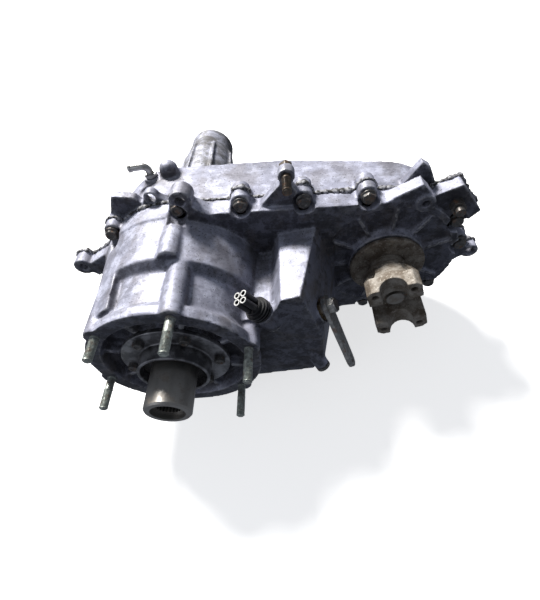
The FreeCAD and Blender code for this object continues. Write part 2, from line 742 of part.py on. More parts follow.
# ---- input ---------------------------------------------------------------------------------
def build_input():
    nose_y = -input_tube_out
    cavity_y = range_hub_y - 2.0
    body = turned([
        (0, nose_y), (input_tube_r - 1.6, nose_y), (input_tube_r, nose_y + 2),
        (input_tube_r, bearing_y - 1), (bearing_in_r, bearing_y - 1), (bearing_in_r, bearing_end_y),
        (bearing_in_r + 4, bearing_end_y), (bearing_in_r + 4, gear_y), (0, gear_y),
    ])
    sun = prism(gear_corners(sun_teeth), gear_y, gear_end_y)
    bores = [
        rod(input_spline_r + 2.6, nose_y - 1, nose_y + 7),
        prism(spline_corners(spline_teeth, input_spline_r, 1.8, 0), nose_y + 6, input_spline_end),
        rod(pilot_r, input_spline_end - 1, cavity_y + 1),
        prism(dog_space(range_dog_r), cavity_y, gear_end_y + 1),
    ]
    keep("input_gear", join(body, sun).cut(bores))

    y = bearing_y - retainer_thick
    retainer = turned([
        (input_tube_r + 5, y), (snout_r - snout_wall, y), (snout_r - snout_wall, -snout_out),
        (snout_r, -snout_out), (snout_r, y), (retainer_r, y), (retainer_r, bearing_y),
        (input_tube_r + 5, bearing_y),
    ])
    holes = [rod(retainer_bolt_r, y - 1, bearing_y + 1, *polar(retainer_bolt_circle_r, a))
             for a in retainer_bolt_angles]
    keep("input_bearing_retainer", retainer.cut(holes))
    bolts = [bolt(*polar(retainer_bolt_circle_r, a), y, bearing_y + 12, retainer_bolt_r - running, 10, 6)
             for a in retainer_bolt_angles]
    keep("retainer_bolts", Part.makeCompound(bolts))
    seal = turned([
        (input_tube_r + running, y - 8), (snout_r - snout_wall, y - 8), (snout_r - snout_wall, y - 6.5),
        (input_tube_r + 4, y - 6.5), (input_tube_r + 4, y - 1.5), (snout_r - snout_wall, y - 1.5),
        (snout_r - snout_wall, y), (input_tube_r + 2.5, y), (input_tube_r + running, y - 5),
    ])
    keep("input_seal", seal)
    keep("input_bearing", ball_bearing(bearing_in_r + running, bearing_out_r, bearing_y, bearing_width))


def dog_space(tip_r):
    """Female clutch teeth that take the range hub's teeth."""
    half = math.pi * (tip_r - dog_depth / 2) / dog_teeth / 2 - 0.2
    root = tip_r - dog_depth + 2 * spline_gap
    return toothed(dog_teeth, root, tip_r + 2 * spline_gap, half + 0.5, half + 0.3)


def dog_ring(tip_r):
    half = math.pi * (tip_r - dog_depth / 2) / dog_teeth / 2 - 0.2
    return toothed(dog_teeth, tip_r - dog_depth, tip_r, half, half - 0.4)


# ---- main shaft train -------------------------------------------------------------------
def build_main_shaft():
    spline_end = mode_hub_y - 2.0
    rotor_end = pump_y + pump_width
    shaft = join(
        rod(pilot_r - running, input_spline_end + 4, range_hub_y),
        prism(spline_corners(spline_teeth, spline_r, spline_depth, 0), range_hub_y, spline_end),
        rod(spline_r, spline_end, sprocket_end_y + free),
        rod(spline_r + 5, sprocket_end_y + free, sprocket_end_y + 3.5),
        rod(rear_bearing_in_r, sprocket_end_y + 3.5, speed_y + 12),
        rod(rear_bearing_in_r - 0.8, speed_y + 12, tail_spline_y),
        prism(spline_corners(spline_teeth, tail_spline_r, 1.8, 0), tail_spline_y, tail_shaft_end - 1.5),
        cone(tail_spline_r - 1.8, tail_spline_r - 3.2, tail_shaft_end - 1.5, tail_shaft_end),
    )
    keep("main_shaft", shaft)

    male = spline_corners(spline_teeth, mode_hub_r, dog_depth, 0)
    hub = prism(male, mode_hub_y, mode_hub_y + mode_hub_width)
    keep("mode_hub", hub.cut(rod(spline_r, mode_hub_y - 1, mode_hub_y + mode_hub_width + 1)))

    y = range_groove_y
    sliding = join(
        prism(dog_ring(range_dog_r), range_hub_y, range_hub_y + range_dog_length),
        rod(range_hub_body_r, range_hub_y, y + groove_width + 4),
        rod(range_collar_r, y - 4, y),
        rod(range_collar_r, y + groove_width, y + groove_width + 4),
    )
    female = prism(spline_corners(spline_teeth, spline_r, spline_depth, spline_gap), 40, 100)
    keep("range_hub", sliding.cut(female))

    sleeve_r = mode_hub_r + mode_sleeve_wall
    sleeve_y = mode_hub_y - 2.5
    sleeve_end = sprocket_y - 1.0
    groove = mode_groove_y()
    sleeve = rod(sleeve_r, sleeve_y, sleeve_end)
    sleeve = sleeve.cut([
        tube(sleeve_r + 1, sleeve_r - 4, groove, groove + groove_width),
        prism(spline_corners(spline_teeth, mode_hub_r, dog_depth, spline_gap), 100, 150),
    ])
    keep("mode_sleeve", sleeve)

    rotor = tube(rotor_r, rear_bearing_in_r, pump_y + 4, rotor_end - 3)
    vanes = [spin(box(rotor_r - 6, rotor_r + 1, 0, 300, -1.2, 1.2), a) for a in (30, 120, 210, 300)]
    keep("oil_pump_rotor", rotor.cut(vanes))

    notches = [spin(box(22, 30, 0, 300, -1.8, 1.8), a) for a in range(0, 360, 30)]
    ring = tube(25.0, rear_bearing_in_r, speed_y - 6, speed_y + 6)
    keep("speed_ring", ring.cut(notches))


def mode_groove_y():
    return mode_hub_y + (mode_hub_width - groove_width) / 2


def sprocket_teeth_solid(y0, x):
    tip = sprocket_pitch_r - 0.5
    root = tip - sprocket_tooth_depth
    corners = toothed(sprocket_teeth, root, tip, 3.6, 1.5, 0.0, x)
    return prism(corners, y0 + 0.5, y0 + chain_width - 0.5)


def build_chain_drive():
    clutch = prism(spline_corners(spline_teeth, mode_hub_r, dog_depth, 0), sprocket_y, sprocket_y + 6.5)
    hub = rod(sprocket_hub_r, sprocket_y, sprocket_end_y)
    wheel = join(clutch, hub, sprocket_teeth_solid(chain_y, 0))
    relief = tube(sprocket_pitch_r - 12, sprocket_hub_r + 6, chain_y - 1, chain_y + 5)
    wheel = wheel.cut([relief, rod(spline_r + running, 0, 300)])
    keep("drive_sprocket", wheel)

    hub = rod(sprocket_hub_r, chain_y - 1, sprocket_end_y, shaft_centres)
    driven = join(hub, sprocket_teeth_solid(chain_y, shaft_centres))
    relief = relief.translated(Vector(shaft_centres, 0, 0))
    driven = driven.cut([relief, rod(front_bearing_in_r + 6, 0, 300, shaft_centres)])
    keep("driven_sprocket", driven)
    keep("drive_chain", build_chain())


def chain_point(along, offset):
    """Point beside the pitch line at a distance along the loop."""
    half_turn = math.pi * sprocket_pitch_r
    r = sprocket_pitch_r + offset
    if along < shaft_centres:
        return along, r
    along -= shaft_centres
    if along < half_turn:
        return polar(r, 90 - math.degrees(along / sprocket_pitch_r), shaft_centres)
    along -= half_turn
    if along < shaft_centres:
        return shaft_centres - along, -r
    return polar(r, 270 - math.degrees((along - shaft_centres) / sprocket_pitch_r))


def build_chain():
    """One closed loop of link plates; link backs notched, teeth on the free runs."""
    loop = 2 * shaft_centres + 2 * math.pi * sprocket_pitch_r
    step = loop / chain_links
    outer = []
    for i in range(chain_links):
        outer.append(chain_point(i * step, chain_link_height - 1.6))
        outer.append(chain_point((i + 0.2) * step, chain_link_height))
        outer.append(chain_point((i + 0.8) * step, chain_link_height))
    body = prism(outer, chain_y, chain_y + chain_width)
    inner_r = sprocket_pitch_r - 0.5 + free
    body = body.cut(belt(inner_r, inner_r, chain_y - 1, chain_y + chain_width + 1))
    clear_span = 27.0
    teeth = []
    first = math.ceil(clear_span / step)
    last = math.floor((shaft_centres - clear_span) / step)
    for i in range(first, last):
        for side in (1, -1):
            x = i * step if side > 0 else shaft_centres - i * step
            z0 = side * (inner_r + 0.5)
            z1 = side * (inner_r - 4.2)
            teeth.append(prism([(x + 2.4, z0), (x + 4.4, z1), (x + 6.0, z1), (x + 8.0, z0)],
                               chain_y + 1, chain_y + chain_width - 1))
    return join(body, *teeth)


# ---- front output ---------------------------------------------------------------------------
def build_front_output():
    x = shaft_centres
    hub_end = front_bearing_y - 0.5
    shaft = turned([
        (0, 62), (yoke_bore_r - 3, 62), (yoke_bore_r - 3, yoke_base_y), (yoke_bore_r, yoke_base_y),
        (yoke_bore_r, hub_end), (front_bearing_in_r, hub_end), (front_bearing_in_r, chain_y - 1.5),
        (front_bearing_in_r + 6, chain_y - 1.5), (front_bearing_in_r + 6, sprocket_end_y + 1),
        (rear_journal_r, sprocket_end_y + 1), (rear_journal_r, front_rear_end()), (0, front_rear_end()),
    ], x)
    keep("front_output_shaft", shaft)

    ear = [(-29, 19), (-29, 37), (-23, 42.5), (23, 42.5), (29, 37), (29, 19), (22, 13), (-22, 13)]
    valley = slab([(yoke_face_y - 1, -18), (yoke_base_y - 9, -18), (yoke_base_y, -9), (yoke_base_y, 9),
                   (yoke_base_y - 9, 18), (yoke_face_y - 1, 18)], -60, 60)
    solid = join(
        prism(ear, yoke_face_y, yoke_base_y + 10),
        prism([(u, -w) for u, w in ear], yoke_face_y, yoke_base_y + 10),
        rod(yoke_base_r, yoke_base_y - 12, yoke_base_y + 16),
        cone(yoke_base_r, yoke_hub_r, yoke_base_y + 16, yoke_base_y + 24),
        rod(yoke_hub_r, yoke_base_y + 20, hub_end),
    )
    taper = turned([(43.5, yoke_base_y - 14), (60, yoke_base_y - 14), (60, yoke_base_y + 12),
                    (yoke_base_r, yoke_base_y + 12)])
    saddle = rod_to((0, yoke_face_y, -60), (0, yoke_face_y, 60), cap_r)
    nut_seat = rod(18.0, yoke_base_y - 20, yoke_base_y)
    solid = solid.cut([valley, taper, saddle, nut_seat, rod(yoke_bore_r, 0, 200)])
    centres = [(u, w) for u in (-cap_bolt_u, cap_bolt_u) for w in (-cap_bolt_w, cap_bolt_w)]
    threads = [rod(cap_bolt_r, yoke_face_y - 1, yoke_base_y, u, w) for u, w in centres]
    spots = [rod(cap_spot_r, yoke_face_y + cap_bolt_depth, yoke_base_y + 10, u, w) for u, w in centres]
    solid = spin(solid.cut(threads + spots), yoke_turn).translated(Vector(x, 0, 0))
    keep("front_output_yoke", solid)

    cup = turned([
        (yoke_hub_r, slinger_y), (slinger_r - 1.5, slinger_y), (slinger_r, slinger_y + 1.5),
        (slinger_r, slinger_y + 5.5), (slinger_r - slinger_thick, slinger_y + 5.5),
        (slinger_r - slinger_thick, slinger_y + slinger_thick + 0.6), (yoke_hub_r, slinger_y + slinger_thick),
    ], x)
    keep("dust_slinger", cup)

    nut = join(hexagon(29, yoke_base_y - 13, yoke_base_y - 3, x, 0, yoke_turn),
               rod(17, yoke_base_y - 3, yoke_base_y, x))
    keep("yoke_nut", nut.cut(rod(yoke_bore_r - 3, 0, 200, x)))

    keep("front_output_bearing", ball_bearing(front_bearing_in_r + running, front_bearing_out_r,
                                              front_bearing_y, front_bearing_width, x))
    seal = turned([
        (yoke_hub_r + running, hub_y + 0.5), (front_seal_r, hub_y + 0.5), (front_seal_r, front_bearing_y),
        (front_seal_r - 2, front_bearing_y), (front_seal_r - 2, hub_y + 2.5), (yoke_hub_r + running, hub_y + 3),
    ], x)
    keep("front_output_seal", seal)
    keep("front_output_rear_bearing",
         ball_bearing(rear_journal_r + running, front_rear_bearing_out_r, front_rear_bearing_y,
                      front_rear_bearing_width, x))


def front_rear_end():
    return front_rear_bearing_y + front_rear_bearing_width - 1


# ---- shift mechanism --------------------------------------------------------------------------
def sector_point(share):
    """Fork pin seen from the sector, at a share of the full throw."""
    y = fork_pin_y + share * range_travel - sector_y
    z = fork_pin_place()[1] - sector_z
    radius = math.hypot(y, z)
    angle = math.atan2(z, y) - math.radians(lever_swing * share)
    return radius * math.cos(angle), radius * math.sin(angle)


def throw_relief():
    """Hollows in the chamber's upper wall that the cam track swings into."""
    reach = sector_thick / 2 + 3 * free
    track = slot_track(fork_pin_r + sector_rim + 3 * free, sector_x - reach, sector_x + reach)
    hollows = []
    for share in (0.7, 0.8, 0.9, 1.0):
        swung = track.copy()
        swung.rotate(Vector(sector_x, sector_y, sector_z), AXIS_X, lever_swing * share)
        hollows.append(tilted(swung))
    return hollows


def slot_track(half_width, x0, x1):
    """Cam track swept along the fork pin's path, in the sector's rest position."""
    count = 12
    path = [sector_point(i / count) for i in range(count + 1)]
    left, right = [], []
    for i, (y, z) in enumerate(path):
        ahead = path[min(i + 1, count)]
        behind = path[max(i - 1, 0)]
        dy, dz = ahead[0] - behind[0], ahead[1] - behind[1]
        size = math.hypot(dy, dz)
        side = (-dz / size * half_width, dy / size * half_width)
        left.append((sector_y + y + side[0], sector_z + z + side[1]))
        right.append((sector_y + y - side[0], sector_z + z - side[1]))
    track = slab(left + right[::-1], x0, x1)
    ends = []
    for y, z in (path[0], path[-1]):
        ends.append(rod_to((x0, sector_y + y, sector_z + z), (x1, sector_y + y, sector_z + z), half_width))
    return join(track, *ends)


def build_shift():
    x0, x1 = sector_x - sector_thick / 2, sector_x + sector_thick / 2
    centre = (sector_y, sector_z)
    plate = slot_track(fork_pin_r + sector_rim, x0, x1)
    low = sector_point(1.0)
    high = sector_point(0.0)
    web = slab([centre, (sector_y + high[0], sector_z + high[1]), (sector_y + low[0], sector_z + low[1])],
               x0, x1)
    disc = rod_to((x0, *centre), (x1, *centre), detent_land_r)
    plate = join(plate, web, disc).cut(slot_track(fork_pin_r + free, x0 - 1, x1 + 1))
    notches = []
    for step in range(4):
        angle = math.radians(detent_angle + 20.0 * step - lever_swing)
        y = sector_y + (detent_land_r + 2.2) * math.cos(angle)
        z = sector_z + (detent_land_r + 2.2) * math.sin(angle)
        notches.append(rod_to((x0 - 1, y, z), (x1 + 1, y, z), 3.2))
    plate = plate.cut(notches)
    shaft = rod_to((x0 - 6, *centre), (lever_x + lever_thick + 8, *centre), sector_shaft_r - running)
    flats = slab([(y, z) for y, z in square(sector_y, sector_z, 6.2)], lever_x, lever_x + lever_thick + 1)
    outside = rod_to((lever_x, *centre), (lever_x + lever_thick, *centre), sector_shaft_r + 1)
    shaft = shaft.cut(outside.cut(flats))
    keep("shift_sector", tilted(join(plate, shaft)))

    tip_y = sector_y + lever_length * math.cos(math.radians(lever_angle))
    tip_z = sector_z + lever_length * math.sin(math.radians(lever_angle))
    side_y, side_z = -math.sin(math.radians(lever_angle)), math.cos(math.radians(lever_angle))
    lx1 = lever_x + lever_thick
    arm = slab([
        (sector_y + 13 * side_y, sector_z + 13 * side_z), (tip_y + 9 * side_y, tip_z + 9 * side_z),
        (tip_y - 9 * side_y, tip_z - 9 * side_z), (sector_y - 13 * side_y, sector_z - 13 * side_z),
    ], lever_x, lx1)
    lever = join(arm, rod_to((lever_x, *centre), (lx1, *centre), 14.0),
                 rod_to((lever_x, tip_y, tip_z), (lx1, tip_y, tip_z), 9.0))
    lever = lever.cut([slab(square(sector_y, sector_z, 6.2), lever_x - 1, lx1 + 1),
                       rod_to((lever_x - 1, tip_y, tip_z), (lx1 + 1, tip_y, tip_z), lever_hole_r)])
    keep("shift_lever", tilted(lever))

    nut_x = lx1
    corners = [(sector_y + 9.5 * math.cos(math.radians(60 * i)), sector_z + 9.5 * math.sin(math.radians(60 * i)))
               for i in range(6)]
    nut = slab(corners, nut_x, nut_x + 6)
    keep("lever_nut", tilted(nut.cut(rod_to((nut_x - 1, *centre), (nut_x + 7, *centre), sector_shaft_r - running))))

    bush = rod_to((shaft_boss_x - 20, *centre), (shaft_boss_x, *centre), sector_shaft_r + 5)
    keep("sector_bushing", tilted(bush.cut(rod_to((100, *centre), (200, *centre), sector_shaft_r))))

    keep("shift_rail", rod(rail_r - running, chamber_y + 4, rail_end_y, rail_x, rail_z))
    keep("range_fork", fork(range_groove_y, range_hub_body_r, fork_pin_y - 8,
                            range_groove_y + groove_width, True))
    keep("mode_fork", fork(mode_groove_y(), mode_hub_r + mode_sleeve_wall - 4, mode_hub_y - 3,
                           mode_hub_y + 15, False))
    spring = tube(rail_r + 4.5, rail_r + 1.5, mode_hub_y + 15 + mode_travel + free, rail_end_y - 14,
                  rail_x, rail_z)
    keep("mode_spring", spring)

    start = detent_land_r + free
    plunger = join(rod_to(detent_point(start + 3), detent_point(start + 18), detent_bore_r - running),
                   rod_to(detent_point(start), detent_point(start + 4), 2.6))
    keep("detent_plunger", tilted(plunger))
    coil_end = detent_face_r - 12
    coil = rod_to(detent_point(start + 20.5), detent_point(coil_end), 4.0)
    coil = coil.cut(rod_to(detent_point(start + 20), detent_point(coil_end + 1), 2.6))
    keep("detent_spring", tilted(coil))
    plug = join(rod_to(detent_point(coil_end), detent_point(detent_face_r), detent_bore_r),
                rod_to(detent_point(detent_face_r), detent_point(detent_face_r + 4), detent_bore_r + 4))
    keep("detent_plug", tilted(plug))


def square(y, z, half):
    return [(y - half, z - half), (y + half, z - half), (y + half, z + half), (y - half, z + half)]


def fork(groove_y, groove_r, boss_y0, boss_y1, with_pin):
    """C-shaped shift fork on the rail, in the groove of its collar."""
    y0, y1 = groove_y + free, groove_y + groove_width - free
    ring = tube(groove_r + 15, groove_r + free, y0, y1)
    ring = ring.cut(box(-100, -6, 0, 200, -100, 100))
    arm = box(groove_r + 12, rail_x, y0, y1, -9, 9)
    boss = rod(rail_r + 5, boss_y0, boss_y1, rail_x, rail_z)
    body = join(ring, arm, boss)
    if with_pin:
        pin_x, pin_z = fork_pin_place()
        pin = rod_to((pin_x + rail_r + 1, fork_pin_y, pin_z), (sector_x + sector_thick, fork_pin_y, pin_z),
                     fork_pin_r)
        body = join(body, tilted(pin))
    return body.cut(rod(rail_r, 0, 300, rail_x, rail_z))


# ---- fasteners and fittings ---------------------------------------------------------------------
def build_fittings():
    studs = []
    for i, (x, z) in enumerate(stud_points):
        if i != stud_absent:
            tip_y = -(short_stud_out if i == short_stud else stud_out)
            studs.append(join(rod(stud_r, tip_y + stud_tip, 0, x, z), rod(tapped_stud_r, 0, stud_in, x, z),
                              cone(stud_r - stud_tip, stud_r, tip_y, tip_y + stud_tip, x, z)))
    keep("adapter_studs", Part.makeCompound(studs))
    head_seat = seam_y - case_boss_depth
    bolts = [bolt(x, z, head_seat, seam_y + 12, case_bolt_r - 0.5, 13, 8) for x, z in case_bolt_places]
    keep("case_bolts", Part.makeCompound(bolts))
    end = rear_y + extension_flange_thick
    bolts = []
    for angle in extension_bolt_angles:
        x, z = polar(extension_bolt_circle_r, angle)
        head = join(rod(8, end, end + 1.5, x, z), hexagon(13, end + 1.5, end + 8, x, z))
        bolts.append(join(head, rod(extension_bolt_r - 0.5, rear_y - 15, end, x, z)))
    keep("extension_bolts", Part.makeCompound(bolts))

    x, z = stud_ear_tip
    stud = join(rod(ear_stud_r, stud_ear_y[0] - ear_stud_out, stud_ear_y[0], x, z),
                rod(tapped_stud_r, stud_ear_y[0], stud_ear_y[1] + 6, x, z),
                hexagon(14, stud_ear_y[1], stud_ear_y[1] + 7, x, z))
    keep("ear_stud", stud)
    x, z = pad_centre
    keep("pad_bolt", join(rod(lug_hole_r - 0.3, pad_y[0] - 16, pad_y[1] - 2, x, z),
                          hexagon(15, pad_y[0] - 9, pad_y[0], x, z)))

    seat, top = switch_seat(0), switch_seat(switch_body_length)
    body = join(rod_to(switch_seat(-12), seat, switch_thread_r), rod_to(seat, top, switch_body_r),
                rod_to(top, switch_seat(switch_body_length + 4), switch_body_r - 2.5))
    fins = [rod_to(switch_seat(a), switch_seat(a + 1.6), switch_body_r + 1.6) for a in (2.0, 5.5, 9.0)]
    axis = Vector(*switch_lean)
    across = axis.cross(AXIS_X)
    across.normalize()
    beside = axis.cross(across)
    beside.normalize()
    ports = []
    for i in range(4):
        turn = math.radians(90 * i + 45)
        shift = (across * math.cos(turn) + beside * math.sin(turn)) * 5.6
        foot = Vector(*switch_seat(switch_body_length - 1)) + shift
        tip = Vector(*switch_seat(switch_body_length + switch_port_length)) + shift
        port = Part.makeCylinder(switch_port_r, (tip - foot).Length, foot, axis)
        ports.append(port.cut(Part.makeCylinder(switch_port_r - 1.2, 16, tip - axis * 15, axis)))
    keep("mode_switch", join(body, *(fins + ports)))

    x, y, z = vent_place
    stem = rod_to((x, y, z - 14), (x, y, z + 6), vent_r - 0.8)
    collar = rod_to((x, y, z), (x, y, z + 4), vent_r + 2.2)
    bend = Part.makeTorus(8, vent_r - 1.2, Vector(x - 8, y, z + 6), Vector(0, 1, 0), 0, 360)
    bend = bend.common(box(x - 8, x + 10, y - 10, y + 10, z + 6, z + 30))
    barb = rod_to((x - 8, y, z + 14), (x - 24, y, z + 14), vent_r - 1.2)
    rim = rod_to((x - 21, y, z + 14), (x - 24, y, z + 14), vent_r - 0.4)
    vent = join(stem, collar, bend, barb, rim)
    keep("vent_tube", vent.cut(rod_to((x - 12, y, z + 14), (x - 25, y, z + 14), 2.2)))

    for name, (x, z) in (("fill_plug", fill_plug_place), ("drain_plug", drain_plug_place)):
        face = rear_face_at(x) + 4
        plug = join(rod(case_plug_r, face - 14, face, x, z), rod(case_plug_r + 3, face, face + 2, x, z),
                    hexagon(18, face + 2, face + 8, x, z))
        keep(name, plug)

    y = pump_y
    pump = turned([
        (spline_r + 6, y), (pump_r, y), (pump_r, y + pump_width), (rear_bearing_in_r + 0.6, y + pump_width),
        (rear_bearing_in_r + 0.6, y + pump_width - 2.6), (rotor_r + free, y + pump_width - 2.6),
        (rotor_r + free, y + 3.6), (rear_bearing_in_r + 0.6, y + 3.6), (rear_bearing_in_r + 0.6, y),
    ])
    ear = prism([(-10, -30), (-14, -62), (14, -62), (10, -30)], y, y + 6)
    ear = ear.cut(rod(rotor_r + 4, 0, 300))
    keep("oil_pump_housing", join(pump, ear))
    screen_x, screen_z = pickup_inset_x - main_wall_r, pickup_inset_z - main_wall_r
    tube_path = [(-26, y + 3, -36), (screen_x, y + 3, screen_z), (screen_x, y - 12, screen_z)]
    pickup = join(rod_to(tube_path[0], tube_path[1], 5.0), Part.makeSphere(5.0, Vector(*tube_path[1])),
                  rod_to(tube_path[1], tube_path[2], 5.0), rod(9, y - 34, y - 12, screen_x, screen_z))
    keep("oil_pickup", pickup)

    keep("rear_output_bearing", ball_bearing(rear_bearing_in_r + running, rear_bearing_out_r,
                                             rear_bearing_y, rear_bearing_width))
    keep("tail_bushing", tube(bushing_out_r, slip_yoke_r, 402, seal_y - 4))
    keep("rear_seal", turned([
        (slip_yoke_r, seal_y + 3), (slip_yoke_r + 2, seal_y), (seal_out_r, seal_y), (seal_out_r, tail_y - 1),
        (seal_out_r - 3, tail_y - 1), (seal_out_r - 3, seal_y + 4), (slip_yoke_r, seal_y + 4),
    ]))
    bx, bz = polar(1.0, 150)
    sensor = join(
        rod_to((27 * bx, speed_y, 27 * bz), (58 * bx, speed_y, 58 * bz), speed_bore_r),
        rod_to((58 * bx, speed_y, 58 * bz), (62 * bx, speed_y, 62 * bz), 12.5),
        rod_to((62 * bx, speed_y, 62 * bz), (76 * bx, speed_y, 76 * bz), 9.0),
    )
    keep("speed_sensor", sensor)


def main():
    keep("front_case", build_front_case())
    keep("rear_case", build_rear_case())
    keep("extension_housing", build_extension())
    build_planetary()
    build_input()
    build_main_shaft()
    build_chain_drive()
    build_front_output()
    build_shift()
    build_fittings()
    os.makedirs("parts", exist_ok=True)
    for name, shape in nodes.items():
        shape.exportStep("parts/%s.step" % name)


main()
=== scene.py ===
import math

import bmesh
import bpy
from bpy.props import FloatProperty, FloatVectorProperty, IntProperty, PointerProperty
from mathutils import Matrix, Vector, noise


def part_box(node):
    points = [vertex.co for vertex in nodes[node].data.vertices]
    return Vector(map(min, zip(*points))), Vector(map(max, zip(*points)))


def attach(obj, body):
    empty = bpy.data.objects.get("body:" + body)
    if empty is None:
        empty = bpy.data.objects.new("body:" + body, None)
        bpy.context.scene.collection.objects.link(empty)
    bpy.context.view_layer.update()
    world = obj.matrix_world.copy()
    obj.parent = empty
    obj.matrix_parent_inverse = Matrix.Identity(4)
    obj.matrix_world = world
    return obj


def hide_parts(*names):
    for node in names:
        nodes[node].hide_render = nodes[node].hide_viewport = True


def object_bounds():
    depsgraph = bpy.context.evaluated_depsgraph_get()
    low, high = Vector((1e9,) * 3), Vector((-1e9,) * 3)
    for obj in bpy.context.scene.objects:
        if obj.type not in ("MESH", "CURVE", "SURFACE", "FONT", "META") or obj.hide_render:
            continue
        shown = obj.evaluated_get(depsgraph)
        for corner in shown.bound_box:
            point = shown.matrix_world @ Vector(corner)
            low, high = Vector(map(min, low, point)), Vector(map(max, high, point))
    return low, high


bl_info = {
    "name": "Transfer case finish",
    "version": (1, 0, 0),
    "blender": (4, 5, 0),
    "location": "3D View > Sidebar > Transfer case",
    "description": "Dresses a chain-driven transfer case: castings, studs, seam sealant, yoke and stage",
    "category": "Object",
}

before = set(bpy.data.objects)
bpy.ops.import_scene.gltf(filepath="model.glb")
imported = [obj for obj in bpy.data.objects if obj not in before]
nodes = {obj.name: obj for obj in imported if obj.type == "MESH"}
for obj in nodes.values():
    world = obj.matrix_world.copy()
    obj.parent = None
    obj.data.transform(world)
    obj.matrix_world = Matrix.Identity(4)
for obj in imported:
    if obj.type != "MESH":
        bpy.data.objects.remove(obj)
cad_low, cad_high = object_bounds()

# Colours, linear RGB
STAIN_BROWN = (0.135, 0.112, 0.092)
STAIN_DARK = (0.060, 0.056, 0.062)
# Painted shade: colour of faces that do not face up
SHADED_SKIN = (0.085, 0.088, 0.12)
# Painted highlight: pale colour of upward faces, where the key light falls
PAINTED_SUNLIT_SKIN = (0.64, 0.66, 0.80)
# Painted shade: colour of faces turned to the front, away from the key light
PAINTED_FRONT_SHADE = (0.024, 0.025, 0.034)
BLACK_SPECK = (0.045, 0.042, 0.04)
RUBBED_EDGE = (0.66, 0.66, 0.68)
PORT_RIM = (0.72, 0.72, 0.70)

# Remeshing grids of the smaller pieces, metres
FORGED_VOXEL = 0.0009
PRESSED_VOXEL = 0.0006

# Bolt heads, metres
BOLT_ACROSS = 0.013
BOLT_FLANGE_R = 0.0085
TAIL_FLANGE_R = 0.008
BOLT_HEAD = 0.0062
TAIL_HEAD = 0.008
BOLT_SHANK_R = 0.0035
TAIL_SHANK_R = 0.004
EAR_STUD_R = 0.005
EAR_STUD_REACH = 0.026
EAR_NUT_ACROSS = 0.0135
EAR_NUT = (0.021, 0.0142)

# Direction in which the port switch leans out of the case
SWITCH_LEAN = (-0.45, -0.10, 0.887)

# Studio, metres and degrees
STUDIO_REACH = 6.0
STUDIO_HEIGHT = 5.0
FLOOR_GAP = 0.0004
FLOOR_GLOW = 0.68
KEY_FROM = (-0.42, 0.72, 0.86)
KEY_WIDTH = 14.0
KEY_TONE = (1.0, 0.975, 0.94)
SIDE_FROM = (-0.9, -0.8, 0.55)
SIDE_POWER = 1.6
SIDE_SIZE = 0.8
SIDE_TONE = (0.88, 0.92, 1.0)
SKY_TONE = (0.80, 0.87, 1.0, 1.0)
CAMERA_PLACE = (0.16390, -0.20027, 0.35356)
CAMERA_RIGHT = (0.98740, -0.00252, -0.15820)
CAMERA_UP = (0.09927, 0.78847, 0.60701)
CAMERA_BACK = (0.12321, -0.61507, 0.77879)
SENSOR_WIDTH = 36.0


# ---- sizes and colours that a user would change --------------------------------
class CastingLook(bpy.types.PropertyGroup):
    """Cast aluminium: how far its edges are rounded, how dirty it is and how dark its corners are painted
    with shade.
    """

    voxel: FloatProperty(
        name="Voxel",
        description="Grid size of the softened casting skin", default=0.0018, min=0.0008, unit="LENGTH"
    )
    rounding: IntProperty(
        name="Rounding", description="Smoothing passes over cast edges",
        default=3, min=0
    )
    waviness: FloatProperty(
        name="Waviness",
        description="Depth of the uneven cast surface", default=0.00035, min=0.0, unit="LENGTH"
    )
    tone: FloatVectorProperty(
        name="Aluminium",
        description="Bare weathered casting", subtype="COLOR", default=(0.38, 0.39, 0.49)
    )
    # Colour of the corner darkening: oily grime and painted shade
    corner_grime_and_shade: FloatVectorProperty(
        name="Grime", description="Oil and road dirt", subtype="COLOR", default=(0.040, 0.036, 0.034)
    )


class FastenerSizes(bpy.types.PropertyGroup):
    """Threads of the studs and the shape of the bolt heads."""

    pitch: FloatProperty(
        name="Pitch", description="Thread pitch",
        default=0.0015, min=0.0005, unit="LENGTH"
    )
    depth: FloatProperty(
        name="Depth", description="Thread depth",
        default=0.0009, min=0.0001, unit="LENGTH"
    )
    threaded: FloatProperty(
        name="Threaded",
        description="Threaded length at a stud's free end", default=0.024, min=0.0, unit="LENGTH"
    )
    tone: FloatVectorProperty(
        name="Zinc", description="Aged zinc plate", subtype="COLOR",
        default=(0.56, 0.60, 0.55)
    )


class SealantLook(bpy.types.PropertyGroup):
    """Bead of sealant squeezed out of the case seam."""

    bead: FloatProperty(
        name="Bead", description="Mean radius of the bead",
        default=0.0023, min=0.0002, unit="LENGTH"
    )
    uneven: FloatProperty(
        name="Uneven", description="Share by which the bead swells",
        default=0.9, min=0.0, max=1.0
    )
    tone: FloatVectorProperty(
        name="Sealant", description="Cured sealant", subtype="COLOR",
        default=(0.40, 0.40, 0.43)
    )


class StageLook(bpy.types.PropertyGroup):
    """Floor, lights and camera."""

    floor: FloatVectorProperty(
        name="Floor", description="Floor colour", subtype="COLOR",
        default=(0.86, 0.86, 0.86)
    )
    key: FloatProperty(name="Key", description="Strength of the main light", default=6.0, min=0.0)
    fill: FloatProperty(
        name="Fill", description="Strength of the surrounding light",
        default=0.20, min=0.0
    )
    lens: FloatProperty(name="Lens", description="Focal length in millimetres", default=22.2, min=5.0)


class CaseFinish(bpy.types.PropertyGroup):
    """All settings of the finish."""

    casting: PointerProperty(type=CastingLook)
    fastener: PointerProperty(type=FastenerSizes)
    sealant: PointerProperty(type=SealantLook)
    stage: PointerProperty(type=StageLook)


